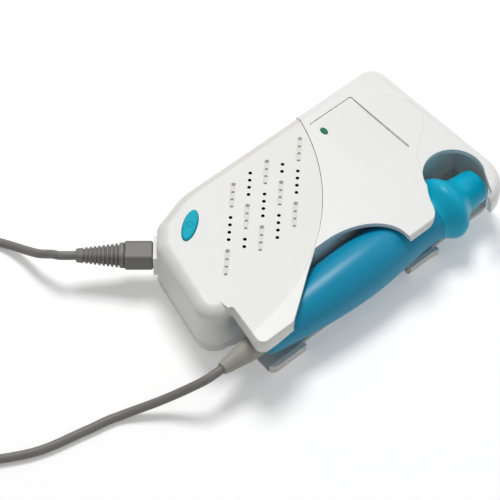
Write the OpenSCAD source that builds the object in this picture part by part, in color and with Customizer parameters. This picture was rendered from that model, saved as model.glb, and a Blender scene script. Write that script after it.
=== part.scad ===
// Pocket vascular doppler: a hand unit lying on its back, with the probe clipped in its side holder.
// X runs across the unit to the holder side, Y runs to the label end, Z is up from the table.

/* [Case] */
// Overall width across the case and the probe cup
case_w = 88; // [86:1:92]
// Overall length from the slanted end to the label end
case_l = 144; // [140:1:150]
// Height of the grille shell's face above the table
case_h = 30; // [29.5:0.5:32]
// Height of the parting line between the rear and front shells
parting_z = 7.5; // [7:0.25:8.5]
// Wall thickness of the shells
wall = 2.2; // [1.8:0.1:2.4]
// Rounding of the front edges
front_edge_r = 5.5; // [4.5:0.25:6]
// Rounding of the rear edges
rear_edge_r = 5.5; // [4:0.5:6]
// Height by which the upper cover stands above the grille shell
cover_proud = 0.6; // [0.4:0.1:0.8]
// Gap left along the seams between shells
seam_gap = 0.2; // [0.1:0.05:0.3]
// Radius of the curved seam between grille shell and upper cover
seam_r = 97; // [92:1:102]
// Width of the slanted facet that carries the probe socket
facet_w = 12; // [11:0.5:14]
// Turn of the socket facet from the length of the case
facet_turn = 41; // [38:1:44]
// Thickness of the wall between the case and the probe bay
divider_t = 2; // [1.5:0.25:2.5]

/* [Probe] */
// Radius of the grip at its fattest place
grip_r = 12.2; // [11.8:0.1:12.4]
// Radius of the grip at its cord end
tail_r = 7.2; // [6.5:0.1:8]
// Radius of the neck behind the flange
neck_r = 9.6; // [9:0.1:10]
// Radius of the flange
flange_r = 14; // [13:0.25:14.25]
// Radius of the nose at the flange
nose_r = 8.3; // [7.8:0.1:8.6]
// Length of the nose in front of the flange
nose_l = 17.5; // [16.5:0.5:18.5]
// Length from the flange to the cord end of the grip
grip_l = 104; // [100:1:106]
// Distance from the flange to the fattest place
fat_l = 52; // [46:1:58]
// Height of the probe's axis above the table
probe_z = 16.6; // [16.5:0.1:17]
// Wall of the probe's shells
probe_wall = 1.8; // [1.5:0.1:2.2]
// Clearance around the probe in its holder
probe_clear = 0.7; // [0.5:0.1:1]
// Length of the strain relief outside the grip
relief_l = 21; // [18:1:24]

/* [Holder] */
// Reach of the holder's arms past the probe's axis
arm_reach = 9.5; // [8.5:0.25:10.5]
// Width of the upper finger along the case
finger_w = 19; // [16:0.5:20]
// Radius of the round opening over the probe's head
head_opening_r = 13; // [12.5:0.25:13.5]
// Height of the lip and the tongue beside the grip
lip_h = 5.6; // [5:0.2:5.8]

/* [Controls] */
// Length of the oval power button
button_l = 16; // [15:0.5:17]
// Width of the oval power button
button_w = 5.6; // [5.2:0.2:6.4]
// Height of the button above the face
button_proud = 1; // [0.9:0.1:1.4]
// Travel of the button when pressed
button_travel = 0.8; // [0.5:0.1:0.8]
// Clearance around moving pieces
run_clear = 0.3; // [0.25:0.05:0.4]
// Width of the label panel
label_w = 37; // [34:1:39]
// Height of the label panel along the case
label_l = 24; // [22:1:25]
// Thickness of the label panel
label_t = 0.8; // [0.6:0.1:1]
// Radius of the volume wheel
wheel_r = 9; // [8.5:0.25:9.5]
// Thickness of the volume wheel
wheel_t = 3.2; // [2.8:0.1:3.4]
// Radius of the headphone jack's bore
jack_r = 1.8; // [1.75:0.05:1.9]
// Depth of the headphone jack's bore
jack_l = 14; // [13:0.5:14]

/* [Grille] */
// Diagonal rows of holes
grille_rows = 5; // [4:1:5]
// Distance between the diagonal rows along the case
grille_step = 9.3; // [9:0.1:9.6]
// Distance between the holes in a group
hole_step = 3.8; // [3.6:0.1:4]
// Distance between the starts of neighbouring groups
group_step = 17.3; // [17:0.1:18]
// Radius of the through holes
hole_r = 0.8; // [0.6:0.05:0.9]
// Radius of the shallow blind holes
dimple_r = 0.7; // [0.5:0.05:0.8]
// Depth of the shallow slots around the blind holes
slot_depth = 0.4; // [0.3:0.05:0.5]

/* [Power] */
// Diameter of a battery cell
cell_d = 14.2; // [14:0.1:14.4]
// Length of a battery cell
cell_l = 49.5; // [49:0.25:50.5]
// Width of the battery door
door_w = 33; // [32:0.5:34]

/* [Plug and cord] */
// Width of the plug's block
plug_w = 10; // [9.5:0.25:10.5]
// Height of the plug's block
plug_h = 9; // [8.5:0.25:9.5]
// Length of the plug's block
plug_l = 12; // [11:0.5:13]
// Length of the plug's ribbed boot
boot_l = 20; // [18:1:22]
// Number of ribs on the boot
boot_ribs = 9; // [7:1:10]
// Height of the plug's axis above the table
plug_z = 15; // [14.5:0.25:15.5]
// Diameter of the cord
cord_d = 3.8; // [3.6:0.1:3.9]
// Turns of the stored coil in each layer
coil_turns = 4; // [3:1:4]
// Distance between neighbouring turns and layers
coil_step = 4.3; // [4.3:0.05:4.6]

/* [Hidden] */
fine = 64;
medium = 32;
eps = 0.01;
through = 60;

// Plan of the case
left_x = -case_w / 2;
right_x = case_w / 2;
top_y = case_l / 2;
bottom_y = -case_l / 2;
cup_r = 17;
top_corner_r = 8;
probe_x = right_x - cup_r;
box_x = probe_x - grip_r - probe_clear;
arm_x = probe_x + arm_reach;
facet = [left_x + 5.5, bottom_y + 17];
facet_end = facet + facet_w * [cos(facet_turn), -sin(facet_turn)];
facet_mid = (facet + facet_end) / 2;
plug_dir = [-sin(facet_turn), -cos(facet_turn)];
face_z = case_h;
cover_z = case_h + cover_proud;
floor_t = 2;
pillar_y = bottom_y + 12;
arm_end_y = pillar_y - 4.5;
edge_corner_r = front_edge_r + 1;

// The probe's flange, about which the probe swings, and the cavity that holds its nose
flange_y = top_y - 23.5;
cavity_x = probe_x - 17.5;
cup_tip_y = flange_y + 8;
finger_top_y = flange_y - 12;
finger_low_y = finger_top_y - finger_w;
tail_y = flange_y - grip_l;

// Corners of the plan, anticlockwise, as [x, y, radius, share of the edge rounding]
function plan(bay_x, bay_low_y, bay_y, r) = [
    [facet[0], facet[1], r, 1],
    [facet_end[0], facet_end[1], r, 1],
    [box_x, bottom_y - 1.2, r + 2.5, 1],
    [box_x, bay_low_y, 1, 0.15],
    [bay_x, bay_y, 3.6, 0.2],
    [bay_x, finger_top_y, 14, 0.3],
    [right_x, flange_y + 3.5, 8, 0.5],
    [right_x, top_y, cup_r, 0.75],
    [left_x, top_y, top_corner_r, 1],
    [left_x, bottom_y + 34, 30, 1]];
front_plan = plan(arm_x, pillar_y, arm_end_y, edge_corner_r);
rear_plan = plan(arm_x - 1.2, pillar_y + 4, pillar_y + 3, edge_corner_r);

function unit(v) = v / norm(v);
function turned(d0, d1) = atan2(d0[0] * d1[1] - d0[1] * d1[0], d0 * d1);
// Points of one rounded corner, each as [x, y, normal x, normal y, share]
function corner(a, p, b, r, share) =
    let (d0 = unit(p - a), d1 = unit(b - p), turn = turned(d0, d1), side = turn > 0 ? 1 : -1,
        n0 = [d0[1], -d0[0]], start = p - d0 * r * tan(abs(turn) / 2), centre = start - side * r * n0,
        steps = max(2, ceil(abs(turn) / 15)))
    [for (i = [0 : steps]) let (w = turn * i / steps, n = [n0[0] * cos(w) - n0[1] * sin(w), n0[0] * sin(w) + n0[1] * cos(w)],
        q = centre + side * r * n) [q[0], q[1], n[0], n[1], share]];
function outline(corners) = let (m = len(corners)) [for (i = [0 : m - 1])
    let (a = corners[(i + m - 1) % m], p = corners[i], b = corners[(i + 1) % m])
    each corner([a[0], a[1]], [p[0], p[1]], [b[0], b[1]], p[2], p[3])];
// A level ring: the outline drawn in by the wall, and by the edge rounding in each point's share
function ring(line, z, inset, edge) =
    [for (q = line) [q[0] - (inset + edge * q[4]) * q[2], q[1] - (inset + edge * q[4]) * q[3], z]];
function flat(line, inset) = [for (q = line) [q[0] - inset * q[2], q[1] - inset * q[3]]];

// A closed skin over a chain of equal rings with flat ends
module skin(rings, turned_over = false) {
    n = len(rings[0]);
    last = len(rings) - 1;
    sides = [for (k = [0 : last - 1]) for (i = [0 : n - 1]) let (j = (i + 1) % n)
        each [[k * n + i, k * n + j, (k + 1) * n + i], [k * n + j, (k + 1) * n + j, (k + 1) * n + i]]];
    ends = [[for (i = [n - 1 : -1 : 0]) i], [for (i = [0 : n - 1]) last * n + i]];
    faces = concat(sides, ends);
    polyhedron([for (r = rings) each r], turned_over ? [for (f = faces) [for (i = [len(f) - 1 : -1 : 0]) f[i]]] : faces,
        convexity = 8);
}

edge_angles = [90, 60, 35, 15, 0];
module between(z0, z1) {
    intersection() {
        children();
        translate([-case_w, -case_l, z0]) cube([2 * case_w, 2 * case_l, z1 - z0]);
    }
}
// A closed form below the height z1 with rounded upper edges, which runs down to z0
module rounded_top(line, z0, z1, inset, r) {
    between(z0, z1) skin(concat([ring(line, z1 + 1, inset, r)],
        [for (a = edge_angles) ring(line, z1 - r * (1 - sin(a)), inset, r * (1 - cos(a)))],
        [ring(line, z0 - 1, inset, 0)]));
}
// The upper tray: its rounded outer form without its rounded inside
module front_tray(top_z, inset) {
    line = outline(front_plan);
    rim_z = parting_z + seam_gap / 2;
    difference() {
        rounded_top(line, rim_z, top_z, inset, front_edge_r);
        rounded_top(line, rim_z - 1, top_z - wall, wall + inset, front_edge_r - wall);
    }
}
// The rear tray: its rounded outer form from the table up, without a straight inside
module rear_tray() {
    line = outline(rear_plan);
    rim_z = parting_z - seam_gap / 2;
    difference() {
        between(0, rim_z) skin(concat([ring(line, -1, 0, rear_edge_r)],
            [for (a = edge_angles) ring(line, rear_edge_r * (1 - sin(a)), 0, rear_edge_r * (1 - cos(a)))],
            [ring(line, rim_z + 1, 0, 0)]), turned_over = true);
        translate([0, 0, floor_t]) linear_extrude(case_h) polygon(flat(line, wall));
    }
}

// The wall that parts the case from the probe bay and bends round the head cavity
divider_low_y = pillar_y + 1;
divider_bend_y = finger_top_y - 9;
module divider(z0, z1) {
    translate([0, 0, z0]) linear_extrude(z1 - z0)
        polygon([[box_x, divider_low_y], [box_x, divider_bend_y], [cavity_x, flange_y - 8], [cavity_x, top_y - wall / 2],
            [cavity_x - divider_t, top_y - wall / 2], [cavity_x - divider_t, flange_y - 8 - divider_t / 2],
            [box_x - divider_t, divider_bend_y - divider_t / 2], [box_x - divider_t, divider_low_y]]);
}

// Region on the inner side of the curved seam between grille shell and upper cover
seam_c = [left_x - 24, bottom_y + 4.5];
module seam_side(r) { translate([seam_c[0], seam_c[1], -eps]) cylinder(r = r, h = through, $fn = 180); }

// The side window between the arms: a quarter oval arch above, the pillar's slanted edge below
window_x = box_x + 0.4;
arch_at = [probe_x + 6, -10];
module window_plan() {
    corner_y = arch_at[1] - 5.5;
    polygon(concat(
        [[window_x, corner_y]],
        [for (a = [180 : -7.5 : 90])
            [arch_at[0] + (arch_at[0] - window_x) * cos(a), arch_at[1] + (finger_low_y - arch_at[1]) * sin(a)]],
        [[right_x + wall, finger_low_y], [right_x + wall, pillar_y + 13], [arm_x - 0.5, pillar_y + 13],
            [arm_x - 3.5, pillar_y + 17.5], [probe_x + 0.5, pillar_y + 25.5], [probe_x - 5.5, pillar_y + 34]]));
}
// The round opening over the probe's head, which runs into the finger's curved upper edge
module head_plan() {
    reach = right_x + 2 * wall;
    intersection() {
        union() {
            translate([probe_x - 3, flange_y + 5.5]) circle(r = head_opening_r, $fn = fine);
            polygon([[reach, finger_top_y - 9], [arm_x + 0.2, finger_top_y - 9], [arm_x - 1, finger_top_y - 5.5],
                [arm_x - 2.6, finger_top_y - 3.2], [probe_x + 4.7, finger_top_y - 1.5], [probe_x + 1, finger_top_y + 0.2],
                [probe_x - 3.8, finger_top_y + 3.1], [probe_x - 9.7, finger_top_y + 8.2],
                [probe_x - 14.2, flange_y + 1.1], [probe_x - 3, flange_y + 5.5],
                [probe_x + 3.3, flange_y + 16.8], [probe_x + 13.8, flange_y + 10.9], [reach, cup_tip_y]]);
        }
        union() {
            polygon(flat(outline(front_plan), wall));
            translate([probe_x, finger_low_y]) square([reach, cup_tip_y - finger_low_y]);
        }
    }
}
// Space for the probe below the arms, open to the side and the cord end
arm_low_z = probe_z + tail_r + probe_clear;
// The cup's side wall is a hood of this height, beyond the edge of the bay's floor
hood_h = 8.5;
floor_edge_x = probe_x + 4;
module bay_void() {
    translate([box_x, 0, 0]) rotate([90, 0, 90]) linear_extrude(through)
        polygon([[bottom_y - wall, -eps], [bottom_y - wall, arm_low_z], [tail_y, arm_low_z],
            [tail_y + 12, arm_low_z + 1.8], [tail_y + 16, face_z - wall + 0.2], [cup_tip_y, face_z - wall + 0.2],
            [cup_tip_y, -eps]]);
    translate([floor_edge_x, 0, 0]) rotate([90, 0, 90]) linear_extrude(through)
        polygon([[cup_tip_y - wall, -eps], [cup_tip_y - wall, face_z - hood_h], [top_y + wall, face_z - hood_h - 1],
            [top_y + wall, -eps]]);
}
module front_cuts() {
    bay_void();
    translate([0, 0, parting_z]) linear_extrude(through) window_plan();
    translate([0, 0, parting_z]) linear_extrude(through) head_plan();
}

// Places on the face
label_mid = [left_x + 27, flange_y - 10];
label_sunk = 0.4;
led_at = [left_x + 15.2, label_mid[1] - 9.4];
led_size = [3.8, 2.4];
button_at = [left_x + 16, bottom_y + 26];
button_tilt = 36;
speaker_at = [-16, -16];
speaker_r = 17;
module oval(l, w) { polygon([for (a = [0 : 10 : 350]) [w / 2 * cos(a), l / 2 * sin(a)]]); }
module at_button() { translate([button_at[0], button_at[1], 0]) rotate(button_tilt) children(); }

// The grille: diagonal rows of four holes, through holes and dimples in turn
grille_start = [left_x + 11.6, grille_step * -2];
group_n = 4;
groups = 3;
function hole_at(i, g, k) = let (s = g * group_step + k * hole_step)
    [grille_start[0] + s * cos(45), grille_start[1] + grille_step * i - s * sin(45)];
function is_through(i, g) = (i + g) % 2 == 1;
function is_left_out(i, g, k) = (i == 1 && g == 2 && k > 1) || (i == 3 && g == 0 && k < 2);
module grille_cuts() {
    for (i = [0 : grille_rows - 1]) for (g = [0 : groups - 1]) {
        for (k = [0 : group_n - 1]) if (!is_left_out(i, g, k)) translate(hole_at(i, g, k)) {
            if (is_through(i, g)) translate([0, 0, face_z - 2 * wall]) cylinder(r = hole_r, h = 3 * wall, $fn = 16);
            else translate([0, 0, face_z - slot_depth - wall / 3]) cylinder(r = dimple_r, h = wall, $fn = 16);
        }
        if (!is_through(i, g)) slot_between(hole_at(i, g, 0), hole_at(i, g, group_n - 1));
    }
}
module slot_between(a, b) {
    slot_w = 3 * dimple_r;
    translate([a[0], a[1], face_z - slot_depth]) {
        rotate(atan2(b[1] - a[1], b[0] - a[0])) translate([0, -slot_w / 2, 0]) cube([norm(b - a), slot_w, wall]);
        cylinder(d = slot_w, h = wall, $fn = 16);
        translate([b[0] - a[0], b[1] - a[1], 0]) cylinder(d = slot_w, h = wall, $fn = 16);
    }
}

// Screw places, shared by the bosses and the screws
screw_spots = [[left_x + 8, top_y - 9], [cavity_x - 7, top_y - 8], [left_x + 7, 4], [box_x - 7.5, bottom_y + 8]];
screw_r = 1.3;
screw_head_r = 2.6;
screw_head_h = 1.6;
screw_seat_z = floor_t + 1;
boss_r = 3;
boss_gap = 0.3;

// Battery compartment in the rear shell
cells = 2;
cell_x = [for (i = [0 : cells - 1]) -14 + (i - (cells - 1) / 2) * (cell_d + 0.8)];
cell_low_z = floor_t + run_clear;
cell_y0 = bottom_y + 22;
bay_gap = 0.6;
contact_t = 1.2;
bay_low = [cell_x[0] - cell_d / 2 - bay_gap, cell_y0 - contact_t - bay_gap];
bay_high = [cell_x[cells - 1] + cell_d / 2 + bay_gap, cell_y0 + cell_l + contact_t + bay_gap];
bay_roof_z = cell_low_z + cell_d + run_clear;
bay_wall = 1.2;
door_x = (bay_low[0] + bay_high[0]) / 2;
door_y1 = bay_high[1] - 1;
board_z = bay_roof_z + bay_wall + 0.1;
board_t = 1.4;

// Rear shell: the tray with the battery compartment, the divider, the bosses and the open bay floor
module rear_shell() {
    color("whitesmoke") difference() {
        union() {
            rear_tray();
            divider(floor_t - eps, parting_z - seam_gap / 2);
            translate([bay_low[0] - bay_wall, bay_low[1] - bay_wall, floor_t - eps])
                cube([bay_high[0] - bay_low[0] + 2 * bay_wall, bay_high[1] - bay_low[1] + 2 * bay_wall,
                    bay_roof_z + bay_wall - floor_t]);
            for (s = screw_spots) translate([s[0], s[1], floor_t - eps]) cylinder(r = boss_r, h = parting_z - floor_t, $fn = medium);
            for (a = [-30, 0, 30]) translate([probe_x + 10 * sin(a), flange_y + 10, floor_t - eps])
                rotate(-a) translate([-0.6, 0, 0]) cube([1.2, 9, 4.6]);
        }
        translate([bay_low[0], bay_low[1], -eps])
            cube([bay_high[0] - bay_low[0], bay_high[1] - bay_low[1], bay_roof_z]);
        door_slot(run_clear);
        bay_floor_cuts();
        translate([0, 0, parting_z]) socket_hole(0.1);
        wheel_slot();
        for (s = screw_spots) translate([s[0], s[1], -eps]) {
            cylinder(r = screw_r + 0.2, h = parting_z, $fn = medium);
            cylinder(r = screw_head_r + 0.2, h = screw_seat_z, $fn = medium);
        }
    }
}
// Cuts that leave the lip and the tongue beside the grip and a low floor between them
module bay_floor_cuts() {
    translate([box_x + eps, bottom_y, lip_h]) cube([through, cup_tip_y - bottom_y, through]);
    translate([floor_edge_x, tail_y + 17.5, -eps]) cube([through, finger_low_y + 3 - tail_y - 17.5, through]);
    translate([floor_edge_x, finger_top_y, -eps]) cube([through, top_y + wall - finger_top_y, through]);
    translate([box_x + eps, bottom_y, floor_t]) cube([arm_x - 1.2 - wall - box_x, cup_tip_y - bottom_y, through]);
}
module door_slot(gap) {
    translate([door_x - door_w / 2 - gap, bottom_y - 5, -eps])
        cube([door_w + 2 * gap, door_y1 + gap - bottom_y + 5, parting_z - 1.2 + gap]);
}
// Battery door: the part of the tray below the compartment, which slides out over the slanted end
module battery_door() {
    color("whitesmoke") difference() {
        intersection() {
            rear_tray();
            door_slot(0);
        }
        for (i = [0 : 5]) translate([door_x - 8, door_y1 - 8 - 2 * i, -eps]) cube([16, 1, 0.5]);
    }
}

// Grille shell: the lower part of the front, with the pillar that holds the cord end of the probe
module front_shell() {
    color("whitesmoke") difference() {
        intersection() {
            union() {
                front_tray(face_z, 0);
                divider(parting_z + seam_gap / 2, face_z - wall + eps);
                front_bosses(face_z);
            }
            seam_side(seam_r);
        }
        front_cuts();
        grille_cuts();
        at_button() translate([0, 0, face_z - 2 * wall]) linear_extrude(through)
            oval(button_l + 2 * run_clear, button_w + 2 * run_clear);
        translate([0, 0, parting_z]) socket_hole(0.1);
        wheel_slot();
    }
}
module front_bosses(top_z) {
    for (s = screw_spots) translate([s[0], s[1], parting_z + boss_gap]) difference() {
        cylinder(r = boss_r, h = top_z - wall - parting_z - boss_gap + eps, $fn = medium);
        translate([0, 0, -eps]) cylinder(r = screw_r, h = 8, $fn = medium);
    }
}
// Upper cover: the label end of the front, with the finger and the cup over the probe's head
module top_cover() {
    color("white") difference() {
        union() {
            front_tray(cover_z, -0.15);
            divider(parting_z + seam_gap / 2, cover_z - wall + eps);
            front_bosses(cover_z);
        }
        seam_side(seam_r + seam_gap);
        front_cuts();
        translate([label_mid[0] - label_w / 2, label_mid[1] - label_l / 2, cover_z - label_t - label_sunk])
            cube([label_w, label_l, through]);
        translate([led_at[0], led_at[1], cover_z - 2 * wall]) linear_extrude(through) oval(led_size[1] + 0.2, led_size[0] + 0.2);
        jack_hole();
        wheel_slot();
    }
}
module label_panel() {
    color("white") difference() {
        translate([label_mid[0] - label_w / 2 + 0.15, label_mid[1] - label_l / 2 + 0.15, cover_z - label_t - label_sunk])
            cube([label_w - 0.3, label_l - 0.3, label_t]);
        translate([led_at[0], led_at[1], cover_z - 2 * wall]) linear_extrude(through) oval(led_size[1] + 0.2, led_size[0] + 0.2);
    }
}
module led_lens() {
    color("seagreen") {
        translate([led_at[0], led_at[1], cover_z - wall - 1]) linear_extrude(wall + 1) oval(led_size[1], led_size[0]);
        translate([led_at[0] - 3, led_at[1] - 2.5, cover_z - wall - 2]) cube([6, 5, 1.9]);
    }
}

// Power button: an oval cap on a stem over its switch
switch_top_z = board_z + board_t + 2.4;
module power_button() {
    color("darkturquoise") at_button() {
        translate([0, 0, face_z - wall - 0.2]) linear_extrude(button_proud + wall - 0.2) oval(button_l, button_w);
        translate([0, 0, face_z + button_proud - 0.4 - eps]) linear_extrude(0.4) oval(button_l - 0.8, button_w - 0.8);
        translate([0, 0, face_z - wall - 1.3]) linear_extrude(1.2) oval(button_l + 2, button_w + 2);
        translate([0, 0, switch_top_z + button_travel + 0.1])
            cylinder(r = 1.6, h = face_z - wall - 1.3 - switch_top_z - button_travel - 0.1 + eps, $fn = medium);
    }
}
module button_switch() {
    color("dimgray") at_button() {
        translate([-3, -3, board_z + board_t]) cube([6, 6, 1.6]);
        translate([0, 0, board_z + board_t]) cylinder(r = 1.5, h = switch_top_z - board_z - board_t, $fn = medium);
    }
}

module main_board() {
    color("darkgreen") {
        difference() {
            translate([0, 0, board_z]) linear_extrude(board_t) difference() {
                polygon([[left_x + 4, bottom_y + 30], [left_x + 9, bottom_y + 20], [box_x - 5, bottom_y + 9],
                    [box_x - divider_t - 1.2, bottom_y + 14], [box_x - divider_t - 1.2, divider_bend_y - 4],
                    [cavity_x - divider_t - 1.2, flange_y - 10], [cavity_x - divider_t - 1.2, top_y - 16],
                    [left_x + 4, top_y - 16]]);
                for (s = screw_spots) translate(s) circle(r = boss_r + 0.6, $fn = medium);
                translate([left_x, wheel_at[1] - wheel_r - 1]) square([wheel_r + 6, 2 * wheel_r + 2]);
            }
            at_plug() translate([-socket_in - 1, 0, 0]) plug_block(socket_in + facet_w, plug_w + 4, plug_h + 4);
        }
        for (c = [[-24, 46, 9, 9], [-8, 40, 6, 12], [-6, 20, 10, 7], [2, -40, 7, 5]])
            translate([c[0], c[1], board_z + board_t - eps]) cube([c[2], c[3], 1.6]);
    }
}

// Loudspeaker under the grille: basket, cone and a foam ring against the shell
speaker_top_z = face_z - wall - 1.2;
speaker_low_z = board_z + board_t + 0.1;
module speaker_basket() {
    color("silver") translate([speaker_at[0], speaker_at[1], 0]) difference() {
        union() {
            translate([0, 0, speaker_low_z + 2]) cylinder(r = speaker_r, h = speaker_top_z - speaker_low_z - 2, $fn = fine);
            translate([0, 0, speaker_low_z]) cylinder(r = 8, h = 2 + eps, $fn = fine);
        }
        translate([0, 0, speaker_low_z + 3]) cylinder(r = speaker_r - 1.5, h = through, $fn = fine);
    }
}
module speaker_cone() {
    color("black") translate([speaker_at[0], speaker_at[1], speaker_low_z + 3]) rotate_extrude($fn = fine)
        polygon([[0, 0], [5, 0], [speaker_r - 2, 1.4], [speaker_r - 2, 1.9], [5, 0.8], [0, 1.2]]);
}
module speaker_gasket() {
    color("gray") translate([speaker_at[0], speaker_at[1], speaker_top_z]) rotate_extrude($fn = fine)
        translate([speaker_r - 2.5, 0]) square([2.5, 1.2]);
}

// Headphone jack in the label end, with its bore through the wall
jack_at = [left_x + 17, top_y, 15];
module jack_hole() {
    translate([jack_at[0], jack_at[1] - 2 * wall, jack_at[2]]) rotate([-90, 0, 0]) cylinder(r = 3.7, h = 4 * wall, $fn = medium);
}
module headphone_jack() {
    color("dimgray") translate([jack_at[0], top_y - 0.3, jack_at[2]]) rotate([90, 0, 0]) difference() {
        union() {
            cylinder(r = 3.5, h = 3, $fn = medium);
            translate([-4.5, -4.5, 3 - eps]) cube([9, 9, 12]);
        }
        translate([0, 0, -eps]) cylinder(r = jack_r, h = jack_l + eps, $fn = medium);
    }
}

// Volume wheel: a ribbed thumbwheel on a short shaft, showing through a slot in the left side
wheel_proud = 0.5;
wheel_at = [left_x + wheel_r - wheel_proud, 26, 15];
wheel_shaft_r = 2;
module wheel_slot() {
    translate([left_x - 2, wheel_at[1] - wheel_r, wheel_at[2] - wheel_t / 2 - run_clear])
        cube([wheel_r, 2 * wheel_r, wheel_t + 2 * run_clear]);
}
module volume_wheel() {
    color("dimgray") translate([wheel_at[0], wheel_at[1], wheel_at[2] - wheel_t / 2]) difference() {
        union() {
            cylinder(r = wheel_r - 0.4, h = wheel_t, $fn = fine);
            for (a = [0 : 15 : 345]) rotate(a) translate([wheel_r - 0.6, -0.5, 0]) cube([0.6, 1, wheel_t]);
        }
        translate([0, 0, -eps]) cylinder(r = wheel_shaft_r + 0.05, h = wheel_t + 1, $fn = medium);
    }
}
module volume_pot() {
    color("goldenrod") translate([wheel_at[0], wheel_at[1], 0]) {
        translate([0, 0, floor_t]) cylinder(r = wheel_shaft_r, h = wheel_at[2] + wheel_t / 2 + 0.6 - floor_t, $fn = medium);
        translate([-5, -5, floor_t]) cube([10, 10, wheel_at[2] - wheel_t / 2 - 0.6 - floor_t]);
    }
}

// Probe socket in the slanted facet, and the plug that slides into it
socket_in = 6;
socket_out = 1.6;
module at_plug() { translate([facet_mid[0], facet_mid[1], plug_z]) rotate(90 - facet_turn + 180) children(); }
module plug_block(l, w, h) { translate([0, -w / 2, -h / 2]) cube([l, w, h]); }
module socket_hole(gap) {
    translate([0, 0, -parting_z]) at_plug() translate([-2 * wall, 0, 0])
        plug_block(4 * wall, plug_w + 2 + 2 * gap, plug_h + 2 + 2 * gap);
}
module probe_socket() {
    color("white") at_plug() difference() {
        translate([-socket_in, 0, 0]) plug_block(socket_in + socket_out, plug_w + 2, plug_h + 2);
        translate([-socket_in + 1.2, 0, 0]) plug_block(socket_in + socket_out, plug_w - 2.6, plug_h - 2.6);
        for (c = contact_spots) translate([-socket_in - 1, c[0], c[1]]) rotate([0, 90, 0]) cylinder(r = 0.45, h = 4, $fn = 16);
    }
}
contact_spots = [for (y = [-2, 0, 2]) for (z = [-1.2, 1.2]) [y, z]];
module plug_housing() {
    color("gray") at_plug() difference() {
        union() {
            translate([socket_out + 0.05, 0, 0]) plug_block(plug_l, plug_w, plug_h);
            translate([-socket_in + 1.5, 0, 0]) plug_block(socket_in + socket_out - 1.4, plug_w - 3, plug_h - 3);
        }
        for (c = contact_spots) translate([-socket_in + 1, c[0], c[1]]) rotate([0, 90, 0])
            cylinder(r = 0.4, h = 5, $fn = 16);
    }
}
module plug_contacts() {
    color("gold") at_plug() for (c = contact_spots) translate([-socket_in - 0.6, c[0], c[1]]) rotate([0, 90, 0])
        cylinder(r = 0.4, h = 6.6, $fn = 16);
}
// The boot: a tapering sleeve round the cord, with ribs cut across it
boot_x0 = socket_out + 0.05 + plug_l;
boot_end_r = 2.5;
module plug_boot() {
    boot_core = 0.82;
    pitch = (boot_l - 4) / boot_ribs;
    function half(x) = let (t = x / boot_l) [plug_w / 2 * (1 - t) + boot_end_r * t, plug_h / 2 * (1 - t) + boot_end_r * t];
    function section(x, s) = let (h = half(x) * s) [for (a = [22.5 : 45 : 360]) let (c = 1 / cos(22.5))
        [boot_x0 + x, max(-1, min(1, c * cos(a) * 1.15)) * h[0], max(-1, min(1, c * sin(a) * 1.15)) * h[1]]];
    stations = concat([[0, 1], [2, 1]], [for (i = [0 : boot_ribs - 1]) each [
        [2 + i * pitch, boot_core], [2 + (i + 0.4) * pitch, boot_core], [2 + (i + 0.4) * pitch + eps, 1],
        [2 + (i + 1) * pitch - eps, 1]]], [[boot_l, 1]]);
    color("gray") at_plug() difference() {
        skin([for (s = stations) section(s[0], s[1])], turned_over = true);
        translate([boot_x0 - 1, 0, 0]) rotate([0, 90, 0]) cylinder(r = cord_d / 2 + 0.1, h = boot_l + 2, $fn = medium);
    }
}

module battery_cells() {
    color("dimgray") for (i = [0 : cells - 1]) translate([cell_x[i], cell_y0, cell_low_z + cell_d / 2]) rotate([-90, 0, 0]) {
        cylinder(d = cell_d, h = cell_l - 1, $fn = fine);
        cylinder(r = 2.7, h = cell_l, $fn = medium);
    }
}
module battery_contacts() {
    color("silver") for (x = cell_x) for (y = [cell_y0 - contact_t - 0.1, cell_y0 + cell_l + 0.1])
        translate([x - 5, y, cell_low_z + 2]) cube([10, contact_t, 10]);
}
module housing_screws() {
    color("silver") for (s = screw_spots) translate([s[0], s[1], screw_seat_z - screw_head_h - 0.05]) {
        cylinder(r = screw_head_r, h = screw_head_h, $fn = medium);
        cylinder(r = screw_r - 0.05, h = parting_z + 6 - floor_t, $fn = medium);
    }
}

// The probe: profiles turned about its axis, as [radius, distance ahead of the flange]
function ease(t) = (1 - cos(180 * t)) / 2;
function grip_radius(y) = y < -fat_l ? tail_r + (grip_r - tail_r) * sin(90 * (y + grip_l) / (grip_l - fat_l))
    : neck_r + (grip_r - neck_r) * (1 - ease((y + fat_l) / (fat_l - flare_l)));
flare_l = 13;
ridge_back = 2.5;
fall_l = 7.5;
grip_steps = 20;
end_wall = 8;
module turned_probe(profile) {
    translate([probe_x, flange_y, probe_z]) rotate([-90, 0, 0]) rotate_extrude($fn = fine) polygon(profile);
}
module probe_grip() {
    outer = [for (i = [0 : grip_steps]) let (y = -grip_l + (grip_l - flare_l) * i / grip_steps) [grip_radius(y), y]];
    color("teal") turned_probe(concat(
        [[relief_in_r + 0.05, -grip_l], [tail_r - 1, -grip_l]], [[tail_r - 0.2, -grip_l + 0.6]], [for (i = [1 : grip_steps]) outer[i]],
        [[neck_r + 0.6, -flare_l + 2], [neck_r - probe_wall + 0.6, -flare_l + 2]],
        [for (i = [grip_steps : -1 : 2]) [outer[i][0] - probe_wall, outer[i][1]]],
        [[relief_in_r + 1.5, -grip_l + end_wall], [relief_in_r + 0.05, -grip_l + end_wall]]));
}
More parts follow.
